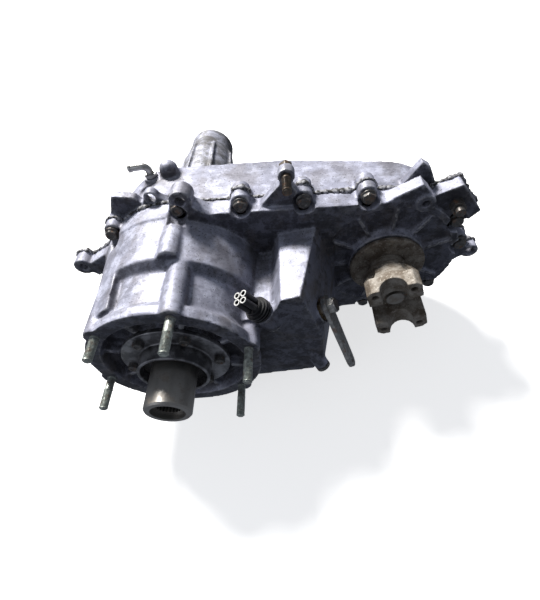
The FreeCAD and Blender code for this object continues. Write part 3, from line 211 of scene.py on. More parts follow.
# ---- shader maths ------------------------------------------------------------------
class Wire:
    """A socket's output that takes part in arithmetic."""

    def __init__(self, finish, socket):
        self.finish = finish
        self.socket = socket

    def math(self, operation, *values):
        return self.finish.node("ShaderNodeMath", {"operation": operation}, dict(enumerate(values)))

    def __add__(self, other):
        return self.math("ADD", self, other)

    def __radd__(self, other):
        return self.math("ADD", other, self)

    def __sub__(self, other):
        return self.math("SUBTRACT", self, other)

    def __rsub__(self, other):
        return self.math("SUBTRACT", other, self)

    def __mul__(self, other):
        return self.math("MULTIPLY", self, other)

    def __rmul__(self, other):
        return self.math("MULTIPLY", other, self)

    def __pow__(self, other):
        return self.math("POWER", self, other)

    def ramp(self, low, high):
        """Smooth step from 0 at low to 1 at high."""
        return self.finish.node(
            "ShaderNodeMapRange",
            {"interpolation_type": "SMOOTHSTEP"},
            {"Value": self, "From Min": low, "From Max": high},
        )

    def mix(self, below, above):
        """Colour between below, where this is 0, and above, where it is 1."""
        return self.finish.node("ShaderNodeMix", {"data_type": "RGBA"}, {0: self, 6: below, 7: above}, out=2)


class Finish:
    """Node tree of one material."""

    def __init__(self, name):
        self.material = bpy.data.materials.new(name)
        self.material.use_nodes = True
        self.tree = self.material.node_tree
        self.tree.nodes.clear()
        self.shader = self.tree.nodes.new("ShaderNodeBsdfPrincipled")
        output = self.tree.nodes.new("ShaderNodeOutputMaterial")
        self.tree.links.new(self.shader.outputs[0], output.inputs["Surface"])

    def node(self, kind, settings=None, sockets=None, out=0):
        made = self.tree.nodes.new(kind)
        for name, value in (settings or {}).items():
            setattr(made, name, value)
        for key, value in (sockets or {}).items():
            self.feed(made.inputs[key], value)
        return Wire(self, made.outputs[out])

    def feed(self, socket, value):
        if isinstance(value, Wire):
            self.tree.links.new(value.socket, socket)
        elif hasattr(value, "__len__") and len(value) == 3 and len(socket.default_value) == 4:
            socket.default_value = (*value, 1.0)
        else:
            socket.default_value = value

    def place(self):
        return self.node("ShaderNodeTexCoord", out="Object")

    def noise(self, size, detail=3.0, rough=0.55, stretch=(1.0, 1.0, 1.0), shift=0.0):
        moved = {"Vector": self.place(), "Location": (shift, shift, shift), "Scale": stretch}
        where = self.node("ShaderNodeMapping", {}, moved)
        shape = {"Vector": where, "Scale": 1.0 / size, "Detail": detail, "Roughness": rough}
        return self.node("ShaderNodeTexNoise", {}, shape)

    def crevice(self, distance):
        """Ambient occlusion: 1 deep in corners, 0 on open faces. Used to paint shade into corners."""
        open_sky = self.node(
            "ShaderNodeAmbientOcclusion", {"samples": 6, "only_local": True}, {"Distance": distance}, out="AO"
        )
        return 1.0 - open_sky

    def edge(self):
        """1 on outer edges, 0 on flat faces."""
        return self.node("ShaderNodeNewGeometry", out="Pointiness").ramp(0.50, 0.58)

    def facing(self, axis):
        """The normal's share along one axis, from -1 to 1."""
        normal = self.node("ShaderNodeNewGeometry", out="Normal")
        split = self.node("ShaderNodeSeparateXYZ", {}, {"Vector": normal}, out=axis)
        return split

    def along(self, axis):
        """Distance along one axis, in metres."""
        return self.node("ShaderNodeSeparateXYZ", {}, {"Vector": self.place()}, out=axis)

    def bump(self, height, depth, strength=1.0, under=None):
        sockets = {"Height": height, "Distance": depth, "Strength": strength}
        if under:
            sockets["Normal"] = under
        return self.node("ShaderNodeBump", {}, sockets)

    def set(self, **values):
        names = {
            "color": "Base Color",
            "rough": "Roughness",
            "metal": "Metallic",
            "coat": "Coat Weight",
            "normal": "Normal",
            "gloss": "Specular IOR Level",
            "coat_rough": "Coat Roughness",
        }
        for key, value in values.items():
            self.feed(self.shader.inputs[names[key]], value)
        return self.material


def cast_aluminium(look, name, dirt=1.0, tone=None):
    """Weathered sand-cast skin: pitted, mottled, stained, oily in its corners, rubbed bright on its edges.
    Painted highlight on upward faces; painted shade on faces that do not face up, on front faces and in its
    corners. Dirt scales the stains, the grime and the painted shade.
    """
    f = Finish(name)
    bare = tone or tuple(look.tone)
    oxide = f.noise(0.055, 4.0, 0.6).ramp(0.38, 0.66)
    color = oxide.mix(tuple(c * 0.78 for c in bare), bare)
    upward = f.facing("Z").ramp(0.0, 0.85)
    # Pale clouds, faint on every face and strong on upward faces as a painted highlight
    cloudy = f.noise(0.020, 5.0, 0.7, shift=0.31).ramp(0.44, 0.60)
    color = (cloudy * (0.10 + 0.55 * upward)).mix(color, PAINTED_SUNLIT_SKIN)
    # Painted shade: faces that do not face up turn dark navy
    color = ((1.0 - upward) * 0.55 * dirt).mix(color, SHADED_SKIN)
    brown = f.noise(0.034, 5.0, 0.65, stretch=(1.0, 0.6, 1.0), shift=1.7).ramp(0.47, 0.62)
    color = (brown * (0.65 - 0.30 * upward) * dirt).mix(color, STAIN_BROWN)
    smear = f.noise(0.021, 5.0, 0.7, stretch=(0.5, 1.6, 1.0), shift=8.3).ramp(0.52, 0.63)
    color = (smear * (0.8 - 0.5 * upward) * dirt).mix(color, STAIN_DARK)
    # Ambient occlusion darkens the corners: painted shade, mixed with oily grime
    corner = f.crevice(0.030).ramp(0.12, 0.62)
    patch = f.noise(0.012, 5.0, 0.75, shift=2.9).ramp(0.42, 0.58)
    soiled_and_shaded = corner * (0.45 + 0.55 * patch) * dirt
    color = (soiled_and_shaded * 0.9).mix(color, tuple(look.corner_grime_and_shade))
    # Painted shade on faces turned to the front, in patches
    front = f.facing("Y").ramp(-0.35, -0.92)
    color = (front * (0.45 + 0.4 * patch) * dirt).mix(color, PAINTED_FRONT_SHADE)
    specks = f.noise(0.0022, 3.0, 0.6, shift=4.1).ramp(0.60, 0.66)
    color = (specks * 0.7 * dirt).mix(color, BLACK_SPECK)
    worn = f.edge() * f.noise(0.006, 2.0, 0.5, shift=5.3).ramp(0.35, 0.6)
    color = (worn * 0.65).mix(color, RUBBED_EDGE)
    grain = f.noise(0.0014, 3.0, 0.6)
    lumps = f.noise(0.007, 3.0, 0.55, shift=6.0)
    normal = f.bump(grain, 0.00022, 0.75, f.bump(lumps, 0.0007, 0.55))
    rough = 0.46 + 0.18 * oxide + 0.2 * soiled_and_shaded - 0.12 * worn
    return f.set(color=color, rough=rough, metal=0.2 * (1.0 - soiled_and_shaded), normal=normal, gloss=0.4)


def machined_aluminium(look, name):
    """Turned face with fine rings about the main shaft."""
    f = Finish(name)
    haze = f.noise(0.012, 3.0, 0.6).ramp(0.4, 0.65)
    color = haze.mix((0.16, 0.16, 0.17), (0.40, 0.40, 0.42))
    # Ambient occlusion darkens the corners: painted shade, mixed with grime
    corner = f.crevice(0.020).ramp(0.1, 0.6)
    color = (corner * 0.9).mix(color, tuple(look.corner_grime_and_shade))
    x, z = f.along("X"), f.along("Z")
    radius = (x * x + z * z) ** 0.5
    turns = radius * 6500.0
    rings = turns.math("SINE", turns)
    normal = f.bump(rings, 0.00006, 0.5)
    return f.set(color=color, rough=0.34 + 0.15 * haze, metal=0.85, normal=normal)


def turned_steel(name, tone, rust=0.2, ring=2600.0, axis="Y"):
    """Turned or ground steel: fine rings along its axis, brown film here and there."""
    f = Finish(name)
    rings = f.node(
        "ShaderNodeTexNoise",
        {"noise_dimensions": "1D"},
        {"W": f.along(axis) * ring, "Scale": 1.0, "Detail": 2.0},
    )
    color = rings.mix(tuple(c * 0.8 for c in tone), tuple(min(1.0, c * 1.15) for c in tone))
    film = f.noise(0.009, 4.0, 0.65, shift=0.7).ramp(0.5, 0.7) * rust
    color = film.mix(color, (0.16, 0.10, 0.055))
    # Painted shade: ambient occlusion darkens the corners
    dark = f.crevice(0.01).ramp(0.25, 0.9)
    color = (dark * 0.75).mix(color, (0.03, 0.028, 0.026))
    normal = f.bump(rings, 0.00006, 0.5)
    return f.set(color=color, rough=0.30 + 0.12 * rings + 0.4 * film, metal=0.92 - 0.6 * film, normal=normal)


def aged_zinc(tone, name="aged_zinc", rust=0.5):
    """Dull plated steel with rust starting on its edges."""
    f = Finish(name)
    spots = f.noise(0.004, 4.0, 0.65).ramp(0.42, 0.65)
    color = spots.mix(tuple(c * 0.6 for c in tone), tone)
    rusty = f.noise(0.006, 3.0, 0.7, shift=1.9).ramp(0.52, 0.68) * rust
    color = rusty.mix(color, (0.20, 0.095, 0.045))
    normal = f.bump(f.noise(0.0008, 2.0), 0.00008, 0.6)
    return f.set(color=color, rough=0.42 + 0.3 * rusty, metal=0.5 - 0.4 * rusty, normal=normal)


def rusted_forging(name, tone=(0.36, 0.33, 0.29), deep=(0.15, 0.12, 0.09)):
    """Forged steel under a dry film of rust and dust, speckled light and dark."""
    f = Finish(name)
    film = f.noise(0.014, 4.0, 0.65).ramp(0.38, 0.66)
    color = film.mix(deep, tone)
    light = f.noise(0.0026, 3.0, 0.6, shift=3.3).ramp(0.56, 0.68)
    color = (light * 0.6).mix(color, (0.46, 0.43, 0.38))
    pits = f.noise(0.0018, 2.0, 0.6, shift=7.1).ramp(0.62, 0.72)
    color = (pits * 0.8).mix(color, (0.05, 0.035, 0.025))
    # Painted shade: ambient occlusion darkens the corners
    corner = f.crevice(0.010).ramp(0.3, 0.9)
    color = (corner * 0.7).mix(color, (0.05, 0.04, 0.03))
    height = f.noise(0.0022, 4.0, 0.65)
    normal = f.bump(height, 0.0004, 0.8)
    return f.set(color=color, rough=0.68 - 0.12 * light, metal=0.35 * (1.0 - corner), normal=normal)


def moulding(name, tone=(0.018, 0.018, 0.02), rough=0.42, axis=None, rim=None):
    """Moulded plastic with dust lying on it and, where asked, pale rims beyond a height along an axis."""
    f = Finish(name)
    dust = f.noise(0.006, 4.0, 0.7).ramp(0.52, 0.75)
    color = (dust * 0.35).mix(tone, (0.16, 0.15, 0.14))
    if axis:
        dot = {"operation": "DOT_PRODUCT"}
        height = f.node("ShaderNodeVectorMath", dot, {0: f.place(), 1: axis}, out="Value")
        color = height.ramp(rim - 0.0002, rim).mix(color, PORT_RIM)
    normal = f.bump(f.noise(0.0009, 2.0), 0.00008, 0.5)
    return f.set(color=color, rough=rough + 0.3 * dust, normal=normal, gloss=0.45)


def rubber_lip(name):
    """Seal rubber, greasy and dull."""
    f = Finish(name)
    grease = f.noise(0.005, 3.0, 0.6).ramp(0.45, 0.7)
    color = grease.mix((0.022, 0.021, 0.021), (0.06, 0.052, 0.045))
    return f.set(color=color, rough=0.7 - 0.3 * grease, normal=f.bump(f.noise(0.001, 2.0), 0.00006, 0.5))


def oiled_gear(name, tone=(0.42, 0.41, 0.40)):
    """Hardened steel under a thin film of oil."""
    f = Finish(name)
    film = f.noise(0.008, 3.0, 0.6).ramp(0.4, 0.68)
    color = film.mix(tone, tuple(c * v for c, v in zip(tone, (0.66, 0.56, 0.42))))
    # Painted shade: ambient occlusion darkens the corners
    dark = f.crevice(0.006).ramp(0.3, 0.9)
    color = (dark * 0.6).mix(color, (0.04, 0.032, 0.022))
    normal = f.bump(f.noise(0.0006, 2.0, stretch=(1.0, 0.2, 1.0)), 0.00005, 0.5)
    rough = 0.24 + 0.16 * film
    return f.set(color=color, rough=rough, metal=0.95, normal=normal, coat=0.4 * film, coat_rough=0.1)


def cured_sealant(tone):
    """Squeezed-out sealant with dirt stuck to it."""
    f = Finish("cured_sealant")
    dirt = f.noise(0.004, 4.0, 0.7).ramp(0.42, 0.58)
    color = dirt.mix(tone, (0.035, 0.033, 0.032))
    return f.set(color=color, rough=0.5 + 0.2 * dirt, normal=f.bump(f.noise(0.0012, 3.0), 0.0002, 0.7))


def floor_paint(tone):
    """Plain matt floor with the faintest unevenness."""
    f = Finish("studio_floor")
    shade = f.noise(0.5, 2.0, 0.5)
    color = shade.mix(tuple(c * 0.985 for c in tone), tone)
    f.feed(f.shader.inputs["Emission Color"], (1.0, 1.0, 1.0))
    f.feed(f.shader.inputs["Emission Strength"], FLOOR_GLOW)
    return f.set(color=color, rough=0.9, gloss=0.1)


# ---- mesh helpers ---------------------------------------------------------------------
def clean_mesh(node):
    """The node's mesh with its split corners joined again."""
    work = bmesh.new()
    work.from_mesh(nodes[node].data)
    bmesh.ops.remove_doubles(work, verts=work.verts, dist=2e-6)
    return work


def add_piece(name, mesh, body, material, replaces=()):
    """Links a new piece, lets it ride and hides the parts it stands for."""
    piece = bpy.data.objects.new(name, mesh)
    bpy.context.scene.collection.objects.link(piece)
    mesh.materials.clear()
    mesh.materials.append(material)
    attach(piece, body)
    if replaces:
        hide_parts(*replaces)
    return piece


def paint(node, material):
    """Gives a carried-over piece its finish."""
    piece = nodes[node]
    for holder in piece.material_slots:
        holder.material = material


def soften(node, name, body, material, voxel, passes, share=1.0, wave=0.0, wave_size=0.03):
    """Replaces a node by a copy whose edges are rounded as cast or forged ones are."""
    work = clean_mesh(node)
    mesh = bpy.data.meshes.new(name)
    work.to_mesh(mesh)
    work.free()
    holder = bpy.data.objects.new(name + "_work", mesh)
    bpy.context.scene.collection.objects.link(holder)
    remesh = holder.modifiers.new("skin", "REMESH")
    remesh.mode = "VOXEL"
    remesh.voxel_size = voxel
    remesh.adaptivity = 0.0
    round_off = holder.modifiers.new("round", "SMOOTH")
    round_off.factor = 0.5
    round_off.iterations = passes
    if share < 1.0:
        thin = holder.modifiers.new("thin", "DECIMATE")
        thin.ratio = share
    graph = bpy.context.evaluated_depsgraph_get()
    made = bpy.data.meshes.new_from_object(holder.evaluated_get(graph))
    made.name = name
    bpy.data.objects.remove(holder)
    bpy.data.meshes.remove(mesh)
    normals = [corner.vector.copy() for corner in made.vertex_normals]
    for vertex, normal in zip(made.vertices, normals):
        sink = (0.5 + 0.5 * noise.noise(vertex.co / wave_size)) * wave * 2.0
        vertex.co = inside(vertex.co - normal * sink)
    made.shade_smooth()
    return add_piece(name, made, body, material, (node,))


def inside(point):
    """The point, kept in the box of the solids."""
    return Vector([min(max(p, a), b) for p, a, b in zip(point, cad_low, cad_high)])


def islands(node):
    """Low and high corner of each separate solid in a node."""
    work = clean_mesh(node)
    left = set(work.verts)
    found = []
    while left:
        stack = [left.pop()]
        group = []
        while stack:
            vertex = stack.pop()
            group.append(vertex.co.copy())
            for edge in vertex.link_edges:
                other = edge.other_vert(vertex)
                if other in left:
                    left.remove(other)
                    stack.append(other)
        low = Vector([min(p[i] for p in group) for i in range(3)])
        high = Vector([max(p[i] for p in group) for i in range(3)])
        found.append((low, high))
    work.free()
    return sorted(found, key=lambda pair: tuple(pair[0]))


def along_axis(origin, axis):
    """Matrix that lays local +Z along axis at origin."""
    return Matrix.Translation(origin) @ Vector(axis).to_track_quat("Z", "Y").to_matrix().to_4x4()


def rings(work, rows, place, sides):
    """Skin through rings of points. Each row is a function of the side's angle, giving radius and height."""
    made = []
    for row in rows:
        ring = []
        for j in range(sides):
            angle = 2 * math.pi * j / sides
            radius, height = row(angle)
            point = Vector((radius * math.cos(angle), radius * math.sin(angle), height))
            ring.append(work.verts.new(place @ point))
        made.append(ring)
    for below, above in zip(made, made[1:]):
        for j in range(sides):
            k = (j + 1) % sides
            work.faces.new((below[j], below[k], above[k], above[j]))
    work.faces.new(made[0][::-1])
    work.faces.new(made[-1])
    return made


def plain(radius, height):
    """A round row."""
    return lambda angle: (radius, height)


def thread_rows(radius, depth, pitch, start, end):
    """Rows of a helical thread between two heights."""
    count = max(2, int(math.ceil((end - start) / (pitch / 6))))

    def row(height):
        def shape(angle):
            phase = (height / pitch - angle / (2 * math.pi)) % 1.0
            cut = abs(phase * 2 - 1)
            fade = min(1.0, (height - start) / pitch, (end - height) / pitch)
            return radius - depth * cut * max(0.0, fade), height

        return shape

    return [row(start + (end - start) * i / count) for i in range(count + 1)]


def hex_row(across, height, limit=None):
    """A row of six flats, with its corners held to a radius."""

    def shape(angle):
        turn = (angle + math.pi / 6) % (math.pi / 3) - math.pi / 6
        radius = across / 2 / math.cos(turn)
        return (min(radius, limit) if limit else radius), height

    return shape


def stud_rows(sizes, radius, base, tip):
    """Plain root, shank and threaded end of a stud, from its face to its tip."""
    shank_end = max(base + 0.003, tip - sizes.threaded)
    rows = [plain(radius, base - 0.002), plain(radius, base + 0.0008), plain(radius * 0.93, base + 0.0012)]
    rows += [plain(radius * 0.93, shank_end - 0.0012), plain(radius, shank_end)]
    rows += thread_rows(radius, sizes.depth, sizes.pitch, shank_end + 0.0001, tip - 0.0014)
    rows += [plain(radius - 0.0009, tip - 0.0012), plain(radius - 0.0014, tip - 0.0002)]
    rows.append(plain(radius * 0.45, tip))
    return rows


def head_rows(across, base, top, flange=0.0):
    """Hexagon head with chamfered corners, dished top and, where asked, a flange."""
    rows = []
    if flange:
        rows += [plain(flange, base), plain(flange, base + 0.0008), plain(across / 2 * 1.06, base + 0.0022)]
        base = base + 0.0023
    corner = across / 2 / math.cos(math.pi / 6)
    rows += [hex_row(across, base, corner * 0.97), hex_row(across, base + 0.0006)]
    rows += [hex_row(across, top - 0.0014), hex_row(across, top - 0.0004, across / 2 * 1.03)]
    rows += [plain(across / 2 * 0.92, top), plain(across / 2 * 0.62, top)]
    rows.append(plain(across / 2 * 0.5, top - 0.0007))
    return rows


def finish_mesh(work, name, smooth=35.0):
    """Mesh with outward normals, smooth up to an angle."""
    bmesh.ops.recalc_face_normals(work, faces=work.faces)
    mesh = bpy.data.meshes.new(name)
    work.to_mesh(mesh)
    work.free()
    mesh.shade_smooth()
    mesh.set_sharp_from_angle(angle=math.radians(smooth))
    return mesh


def seam_outline(node, height):
    """Outer outline of a node where a plane square to the main shaft cuts it, as evenly spaced points."""
    work = clean_mesh(node)
    parts = list(work.verts) + list(work.edges) + list(work.faces)
    cut = bmesh.ops.bisect_plane(work, geom=parts, plane_co=(0, height, 0), plane_no=(0, 1, 0))
    ordered = [e for e in cut["geom_cut"] if isinstance(e, bmesh.types.BMEdge)]
    edges = set(ordered)
    best = []
    best_length = 0.0
    for edge in ordered:
        if edge not in edges:
            continue
        edges.remove(edge)
        loop = [edge.verts[0].co.copy(), edge.verts[1].co.copy()]
        end = edge.verts[1]
        while True:
            following = next((e for e in end.link_edges if e in edges), None)
            if following is None:
                break
            edges.remove(following)
            end = following.other_vert(end)
            loop.append(end.co.copy())
        length = sum((b - a).length for a, b in zip(loop, loop[1:]))
        if length > best_length:
            best, best_length = loop, length
    work.free()
    return even_points(best, 0.0016)


def even_points(loop, step):
    """A closed line as evenly spaced points."""
    lengths = [(b - a).length for a, b in zip(loop, loop[1:])]
    total = sum(lengths)
    count = int(total / step)
    made = []
    index = 0
    passed = 0.0
    for i in range(count):
        goal = total * i / count
        while passed + lengths[index] < goal:
            passed += lengths[index]
            index += 1
        share = (goal - passed) / max(lengths[index], 1e-9)
        made.append(loop[index].lerp(loop[index + 1], share))
    return made


# ---- operators --------------------------------------------------------------------------
class CASTINGS_OT_dress(bpy.types.Operator):
    """Round and weather the three castings and the bearing retainer"""

    bl_idname = "transfer_case.castings"
    bl_label = "Castings"

    def execute(self, context):
        look = context.scene.transfer_case.casting
        skin = cast_aluminium(look, "cast_aluminium")
        dark = cast_aluminium(look, "cast_aluminium_tail", 1.2, (0.25, 0.25, 0.27))
        for node, material, voxel in (
            ("front_case", skin, look.voxel),
            ("rear_case", skin, look.voxel),
            ("extension_housing", dark, look.voxel * 0.9),
        ):
            name = node + "_skin"
            soften(node, name, "housing", material, voxel, look.rounding, 0.35, look.waviness)
        turned = machined_aluminium(look, "machined_aluminium")
        soften("input_bearing_retainer", "retainer_skin", "housing", turned, FORGED_VOXEL, 2, 0.5)
        return {"FINISHED"}


class SEALANT_OT_lay(bpy.types.Operator):
    """Lay the uneven bead of sealant round the case seam"""

    bl_idname = "transfer_case.sealant"
    bl_label = "Seam sealant"

    def execute(self, context):
        look = context.scene.transfer_case.sealant
        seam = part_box("front_case")[1].y
        outline = seam_outline("front_case", seam - 0.0006)
        if len(outline) < 50:
            raise RuntimeError("the seam has no outline")
        work = bmesh.new()
        sides = 8
        made = []
        count = len(outline)
        rear = Vector((0.0, 1.0, 0.0))
        for i, point in enumerate(outline):
            ahead = outline[(i + 1) % count] - outline[i - 1]
            ahead.normalize()
            out = Vector((ahead.z, 0.0, -ahead.x))
            swell = noise.noise(point * 160.0) + 0.6 * noise.noise(point * 520.0)
            radius = max(look.bead * (1.0 + look.uneven * swell), look.bead * 0.25)
            lean = 0.0006 + 0.0009 * noise.noise(point * 90.0 + Vector((3.0, 1.0, 7.0)))
            ring = []
            for j in range(sides):
                angle = 2 * math.pi * j / sides
                sideways = out * (0.8 * radius * math.cos(angle))
                corner = point + sideways + rear * (1.2 * radius * math.sin(angle) + lean)
                ring.append(work.verts.new(inside(corner)))
            made.append(ring)
        for i in range(count):
            here, ahead = made[i - 1], made[i]
            for j in range(sides):
                k = (j + 1) % sides
                work.faces.new((here[j], here[k], ahead[k], ahead[j]))
        mesh = finish_mesh(work, "seam_sealant", 80.0)
        add_piece("seam_sealant", mesh, "housing", cured_sealant(tuple(look.tone)))
        return {"FINISHED"}


class FASTENERS_OT_fit(bpy.types.Operator):
    """Cut the threads of the studs and shape the bolt heads and nuts"""

    bl_idname = "transfer_case.fasteners"
    bl_label = "Studs, bolts and nuts"

    def execute(self, context):
        sizes = context.scene.transfer_case.fastener
        zinc = aged_zinc(tuple(sizes.tone))
        dull = aged_zinc((0.15, 0.145, 0.14), "dull_bolt", 0.5)
        brown = aged_zinc((0.15, 0.125, 0.10), "rusty_thread", 0.6)
        work = bmesh.new()
        for low, high in islands("adapter_studs"):
            radius = (high.x - low.x) / 2
            centre = Vector(((low.x + high.x) / 2, 0.0, (low.z + high.z) / 2))
            rings(work, stud_rows(sizes, radius, 0.0, -low.y), along_axis(centre, (0, -1, 0)), 24)
        mesh = finish_mesh(work, "stud_threads")
        add_piece("stud_threads", mesh, "housing", zinc, ("adapter_studs",))

        for node, name, across, flange in (
            ("case_bolts", "case_bolt_heads", BOLT_ACROSS, BOLT_FLANGE_R),
            ("retainer_bolts", "retainer_bolt_heads", None, 0.0),
        ):
            work = bmesh.new()
            for low, high in islands(node):
                centre = Vector(((low.x + high.x) / 2, 0.0, (low.z + high.z) / 2))
                place = along_axis(centre, (0, -1, 0))
                width = across or (high.x - low.x) * 0.86
                rings(work, head_rows(width, -low.y - BOLT_HEAD, -low.y, flange), place, 36)
                rings(work, [plain(BOLT_SHANK_R, -high.y), plain(BOLT_SHANK_R, -low.y - 0.005)], place, 16)
            add_piece(name, finish_mesh(work, name), "housing", dull, (node,))

        work = bmesh.new()
        for low, high in islands("extension_bolts"):
            centre = Vector(((low.x + high.x) / 2, 0.0, (low.z + high.z) / 2))
            place = along_axis(centre, (0, 1, 0))
            rings(work, head_rows(BOLT_ACROSS, high.y - TAIL_HEAD, high.y, TAIL_FLANGE_R), place, 36)
            rings(work, [plain(TAIL_SHANK_R, low.y), plain(TAIL_SHANK_R, high.y - 0.007)], place, 16)
        mesh = finish_mesh(work, "extension_bolt_heads")
        add_piece("extension_bolt_heads", mesh, "housing", dull, ("extension_bolts",))

        low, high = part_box("ear_stud")
        centre = Vector(((low.x + high.x) / 2, 0.0, (low.z + high.z) / 2))
        place = along_axis(centre, (0, -1, 0))
        ear = -low.y - EAR_STUD_REACH
        work = bmesh.new()
        rings(work, stud_rows(sizes, EAR_STUD_R, ear, -low.y), place, 24)
        rings(work, head_rows(EAR_NUT_ACROSS, ear - EAR_NUT[0], ear - EAR_NUT[1]), place, 36)
        rings(work, [plain(EAR_STUD_R, -high.y), plain(EAR_STUD_R, ear - 0.001)], place, 20)
        mesh = finish_mesh(work, "ear_stud_thread")
        add_piece("ear_stud_thread", mesh, "housing", brown, ("ear_stud",))
        return {"FINISHED"}


class OUTPUT_OT_dress(bpy.types.Operator):
    """Forge the front output yoke and its slinger, and finish the nut and seal"""

    bl_idname = "transfer_case.front_output"
    bl_label = "Front output"

    def execute(self, context):
        forging = rusted_forging("rusted_forging")
        tin = rusted_forging("rusted_slinger", (0.30, 0.265, 0.22), (0.13, 0.10, 0.075))
        body, slot = "front_output", "forged_steel"
        soften("front_output_yoke", "yoke_forging", body, forging, FORGED_VOXEL, 3, 0.5, 0.0002, 0.01)
        soften("dust_slinger", "slinger_pressing", "front_output", tin, PRESSED_VOXEL, 1, 0.5)
        paint("yoke_nut", aged_zinc((0.26, 0.24, 0.21), "yoke_nut_plate", 0.8))
        paint("front_output_shaft", turned_steel("output_shaft_steel", (0.36, 0.34, 0.31), 0.5))
        paint("front_output_seal", rubber_lip("output_seal_rubber"))
        return {"FINISHED"}


class INPUT_OT_dress(bpy.types.Operator):
    """Finish the input tube, its seal and the main shaft"""

    bl_idname = "transfer_case.input_side"
    bl_label = "Input side"

    def execute(self, context):
        paint("input_gear", turned_steel("input_tube_steel", (0.40, 0.385, 0.36), 0.35))
        paint("main_shaft", turned_steel("main_shaft_steel", (0.46, 0.45, 0.44), 0.15))
        paint("input_seal", rubber_lip("input_seal_rubber"))
        paint("rear_seal", rubber_lip("rear_seal_rubber"))
        return {"FINISHED"}


class SHIFT_OT_dress(bpy.types.Operator):
    """Finish the shift lever, its nut and the parts behind it"""

    bl_idname = "transfer_case.shift_gear"
    bl_label = "Shift gear"

    def execute(self, context):
        plate = aged_zinc((0.40, 0.40, 0.39), "lever_plate", 0.6)
        soften("shift_lever", "lever_pressing", "selector", plate, PRESSED_VOXEL, 2, 0.5)
        paint("lever_nut", aged_zinc((0.75, 0.74, 0.70), "lever_nut_plate", 0.1))
        paint("shift_sector", turned_steel("sector_steel", (0.42, 0.41, 0.40), 0.3, axis="X"))
        paint("detent_plug", aged_zinc((0.22, 0.22, 0.21), "detent_plug_plate", 0.5))
        paint("detent_plunger", oiled_gear("detent_steel"))
        paint("shift_rail", turned_steel("rail_steel", (0.5, 0.5, 0.5), 0.05))
        iron = rusted_forging("fork_iron", (0.20, 0.19, 0.18), (0.10, 0.09, 0.08))
        paint("range_fork", iron)
        paint("mode_fork", iron)
        return {"FINISHED"}


class FITTINGS_OT_dress(bpy.types.Operator):
    """Finish the port switch, vent, plugs, pad bolt and sensor"""

    bl_idname = "transfer_case.fittings"
    bl_label = "Fittings"

    def execute(self, context):
        black = moulding("black_moulding")
        lean = Vector(SWITCH_LEAN).normalized()
        tip = max(lean.dot(corner.co) for corner in nodes["mode_switch"].data.vertices)
        paint("mode_switch", moulding("switch_moulding", axis=tuple(lean), rim=tip - 0.0006))
        paint("speed_sensor", black)
        paint("oil_pickup", moulding("pickup_moulding", (0.30, 0.28, 0.22), 0.5))
        paint("vent_tube", turned_steel("vent_plate", (0.50, 0.50, 0.49), 0.4, axis="X"))
        paint("pad_bolt", aged_zinc((0.16, 0.15, 0.14), "pad_bolt_plate", 0.7))
        for plug in ("drain_plug", "fill_plug"):
            paint(plug, aged_zinc((0.30, 0.29, 0.27), plug + "_plate", 0.5))
        return {"FINISHED"}


class GEARS_OT_dress(bpy.types.Operator):
    """Finish the gears, shafts, chain and bearings inside the case"""

    bl_idname = "transfer_case.running_gear"
    bl_label = "Running gear"

    def execute(self, context):
        gear = oiled_gear("oiled_gear")
        planets = ["planet_gear_%d" % i for i in (1, 2, 3, 4)]
        hubs = ["range_hub", "mode_hub", "mode_sleeve", "oil_pump_rotor", "speed_ring"]
        for node in ["annulus_gear", "planet_carrier", "drive_sprocket", "driven_sprocket"] + planets + hubs:
            paint(node, gear)
        paint("drive_chain", oiled_gear("oiled_chain", (0.28, 0.27, 0.26)))
        race = oiled_gear("bearing_race", (0.60, 0.60, 0.60))
        for place in ("input", "front_output", "front_output_rear", "rear_output"):
            paint(place + "_bearing", race)
        paint("oil_pump_housing", cast_aluminium(context.scene.transfer_case.casting, "pump_casting", 0.5))
        bronze = oiled_gear("sintered_bronze", (0.46, 0.32, 0.15))
        paint("tail_bushing", bronze)
        paint("sector_bushing", bronze)
        wire = turned_steel("spring_wire", (0.36, 0.36, 0.37), 0.1)
        paint("detent_spring", wire)
        paint("mode_spring", wire)
        return {"FINISHED"}


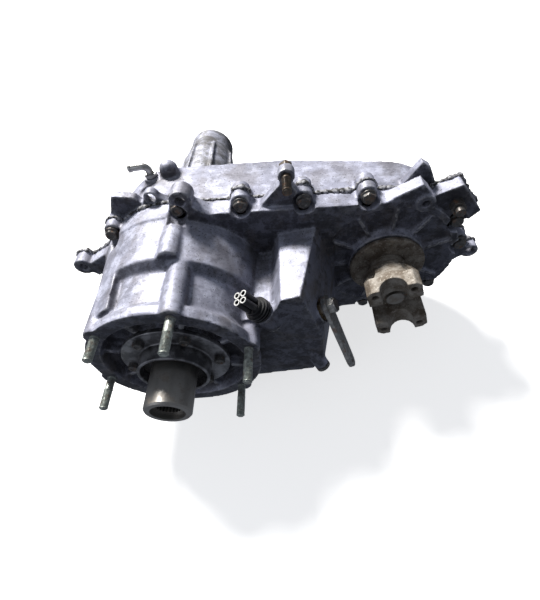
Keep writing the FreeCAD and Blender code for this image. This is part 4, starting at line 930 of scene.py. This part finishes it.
class STAGE_OT_build(bpy.types.Operator):
    """Set the floor, the lights and the camera"""

    bl_idname = "transfer_case.stage"
    bl_label = "Stage"

    def execute(self, context):
        scene = context.scene
        look = scene.transfer_case.stage
        middle = (cad_low + cad_high) / 2
        work = bmesh.new()
        level = cad_low.z - FLOOR_GAP
        place = Matrix.Translation((middle.x, middle.y, level))
        rings(work, [plain(STUDIO_REACH, 0.0), plain(STUDIO_REACH, STUDIO_HEIGHT)], place, 96)
        mesh = finish_mesh(work, "floor")
        mesh.materials.append(floor_paint(tuple(look.floor)))
        floor = bpy.data.objects.new("floor", mesh)
        scene.collection.objects.link(floor)
        floor.visible_diffuse = False
        floor.visible_glossy = False
        floor.visible_shadow = False

        sun = bpy.data.lights.new("key", "SUN")
        sun.energy = look.key
        sun.angle = math.radians(KEY_WIDTH)
        sun.color = KEY_TONE
        key = bpy.data.objects.new("key", sun)
        key.rotation_euler = Vector(KEY_FROM).to_track_quat("Z", "Y").to_euler()
        scene.collection.objects.link(key)

        soft = bpy.data.lights.new("side", "AREA")
        soft.energy = SIDE_POWER
        soft.size = SIDE_SIZE
        soft.color = SIDE_TONE
        side = bpy.data.objects.new("side", soft)
        side.location = middle + Vector(SIDE_FROM)
        side.rotation_euler = (side.location - middle).to_track_quat("Z", "Y").to_euler()
        scene.collection.objects.link(side)

        world = bpy.data.worlds.new("studio")
        world.use_nodes = True
        background = world.node_tree.nodes["Background"]
        background.inputs["Color"].default_value = SKY_TONE
        background.inputs["Strength"].default_value = look.fill
        scene.world = world

        lens = bpy.data.cameras.new("camera")
        lens.lens = look.lens
        lens.sensor_width = SENSOR_WIDTH
        lens.clip_start = 0.01
        camera = bpy.data.objects.new("camera", lens)
        turn = Matrix((CAMERA_RIGHT, CAMERA_UP, CAMERA_BACK)).transposed()
        camera.matrix_world = Matrix.Translation(CAMERA_PLACE) @ turn.to_4x4()
        scene.collection.objects.link(camera)
        scene.camera = camera
        scene.view_settings.view_transform = "Standard"
        return {"FINISHED"}


class CASE_PT_panel(bpy.types.Panel):
    """Sidebar panel with one button for each group of pieces"""

    bl_idname = "CASE_PT_panel"
    bl_label = "Transfer case"
    bl_space_type = "VIEW_3D"
    bl_region_type = "UI"
    bl_category = "Transfer case"

    def draw(self, context):
        layout = self.layout
        look = context.scene.transfer_case
        for group, names in (
            (look.casting, ("voxel", "rounding", "waviness", "tone", "corner_grime_and_shade")),
            (look.fastener, ("pitch", "depth", "threaded", "tone")),
            (look.sealant, ("bead", "uneven", "tone")),
            (look.stage, ("floor", "key", "fill", "lens")),
        ):
            box = layout.box()
            for name in names:
                box.prop(group, name)
        for operator in OPERATORS:
            layout.operator(operator.bl_idname)


OPERATORS = (
    CASTINGS_OT_dress,
    SEALANT_OT_lay,
    FASTENERS_OT_fit,
    OUTPUT_OT_dress,
    INPUT_OT_dress,
    SHIFT_OT_dress,
    FITTINGS_OT_dress,
    GEARS_OT_dress,
    STAGE_OT_build,
)
CLASSES = (CastingLook, FastenerSizes, SealantLook, StageLook, CaseFinish, *OPERATORS, CASE_PT_panel)


def register():
    for item in CLASSES:
        bpy.utils.register_class(item)
    bpy.types.Scene.transfer_case = PointerProperty(type=CaseFinish)


def unregister():
    del bpy.types.Scene.transfer_case
    for item in reversed(CLASSES):
        bpy.utils.unregister_class(item)


def main():
    register()
    group = bpy.ops.transfer_case
    group.castings()
    group.sealant()
    group.fasteners()
    group.front_output()
    group.input_side()
    group.shift_gear()
    group.fittings()
    group.running_gear()
    group.stage()


if __name__ == "__main__":
    main()
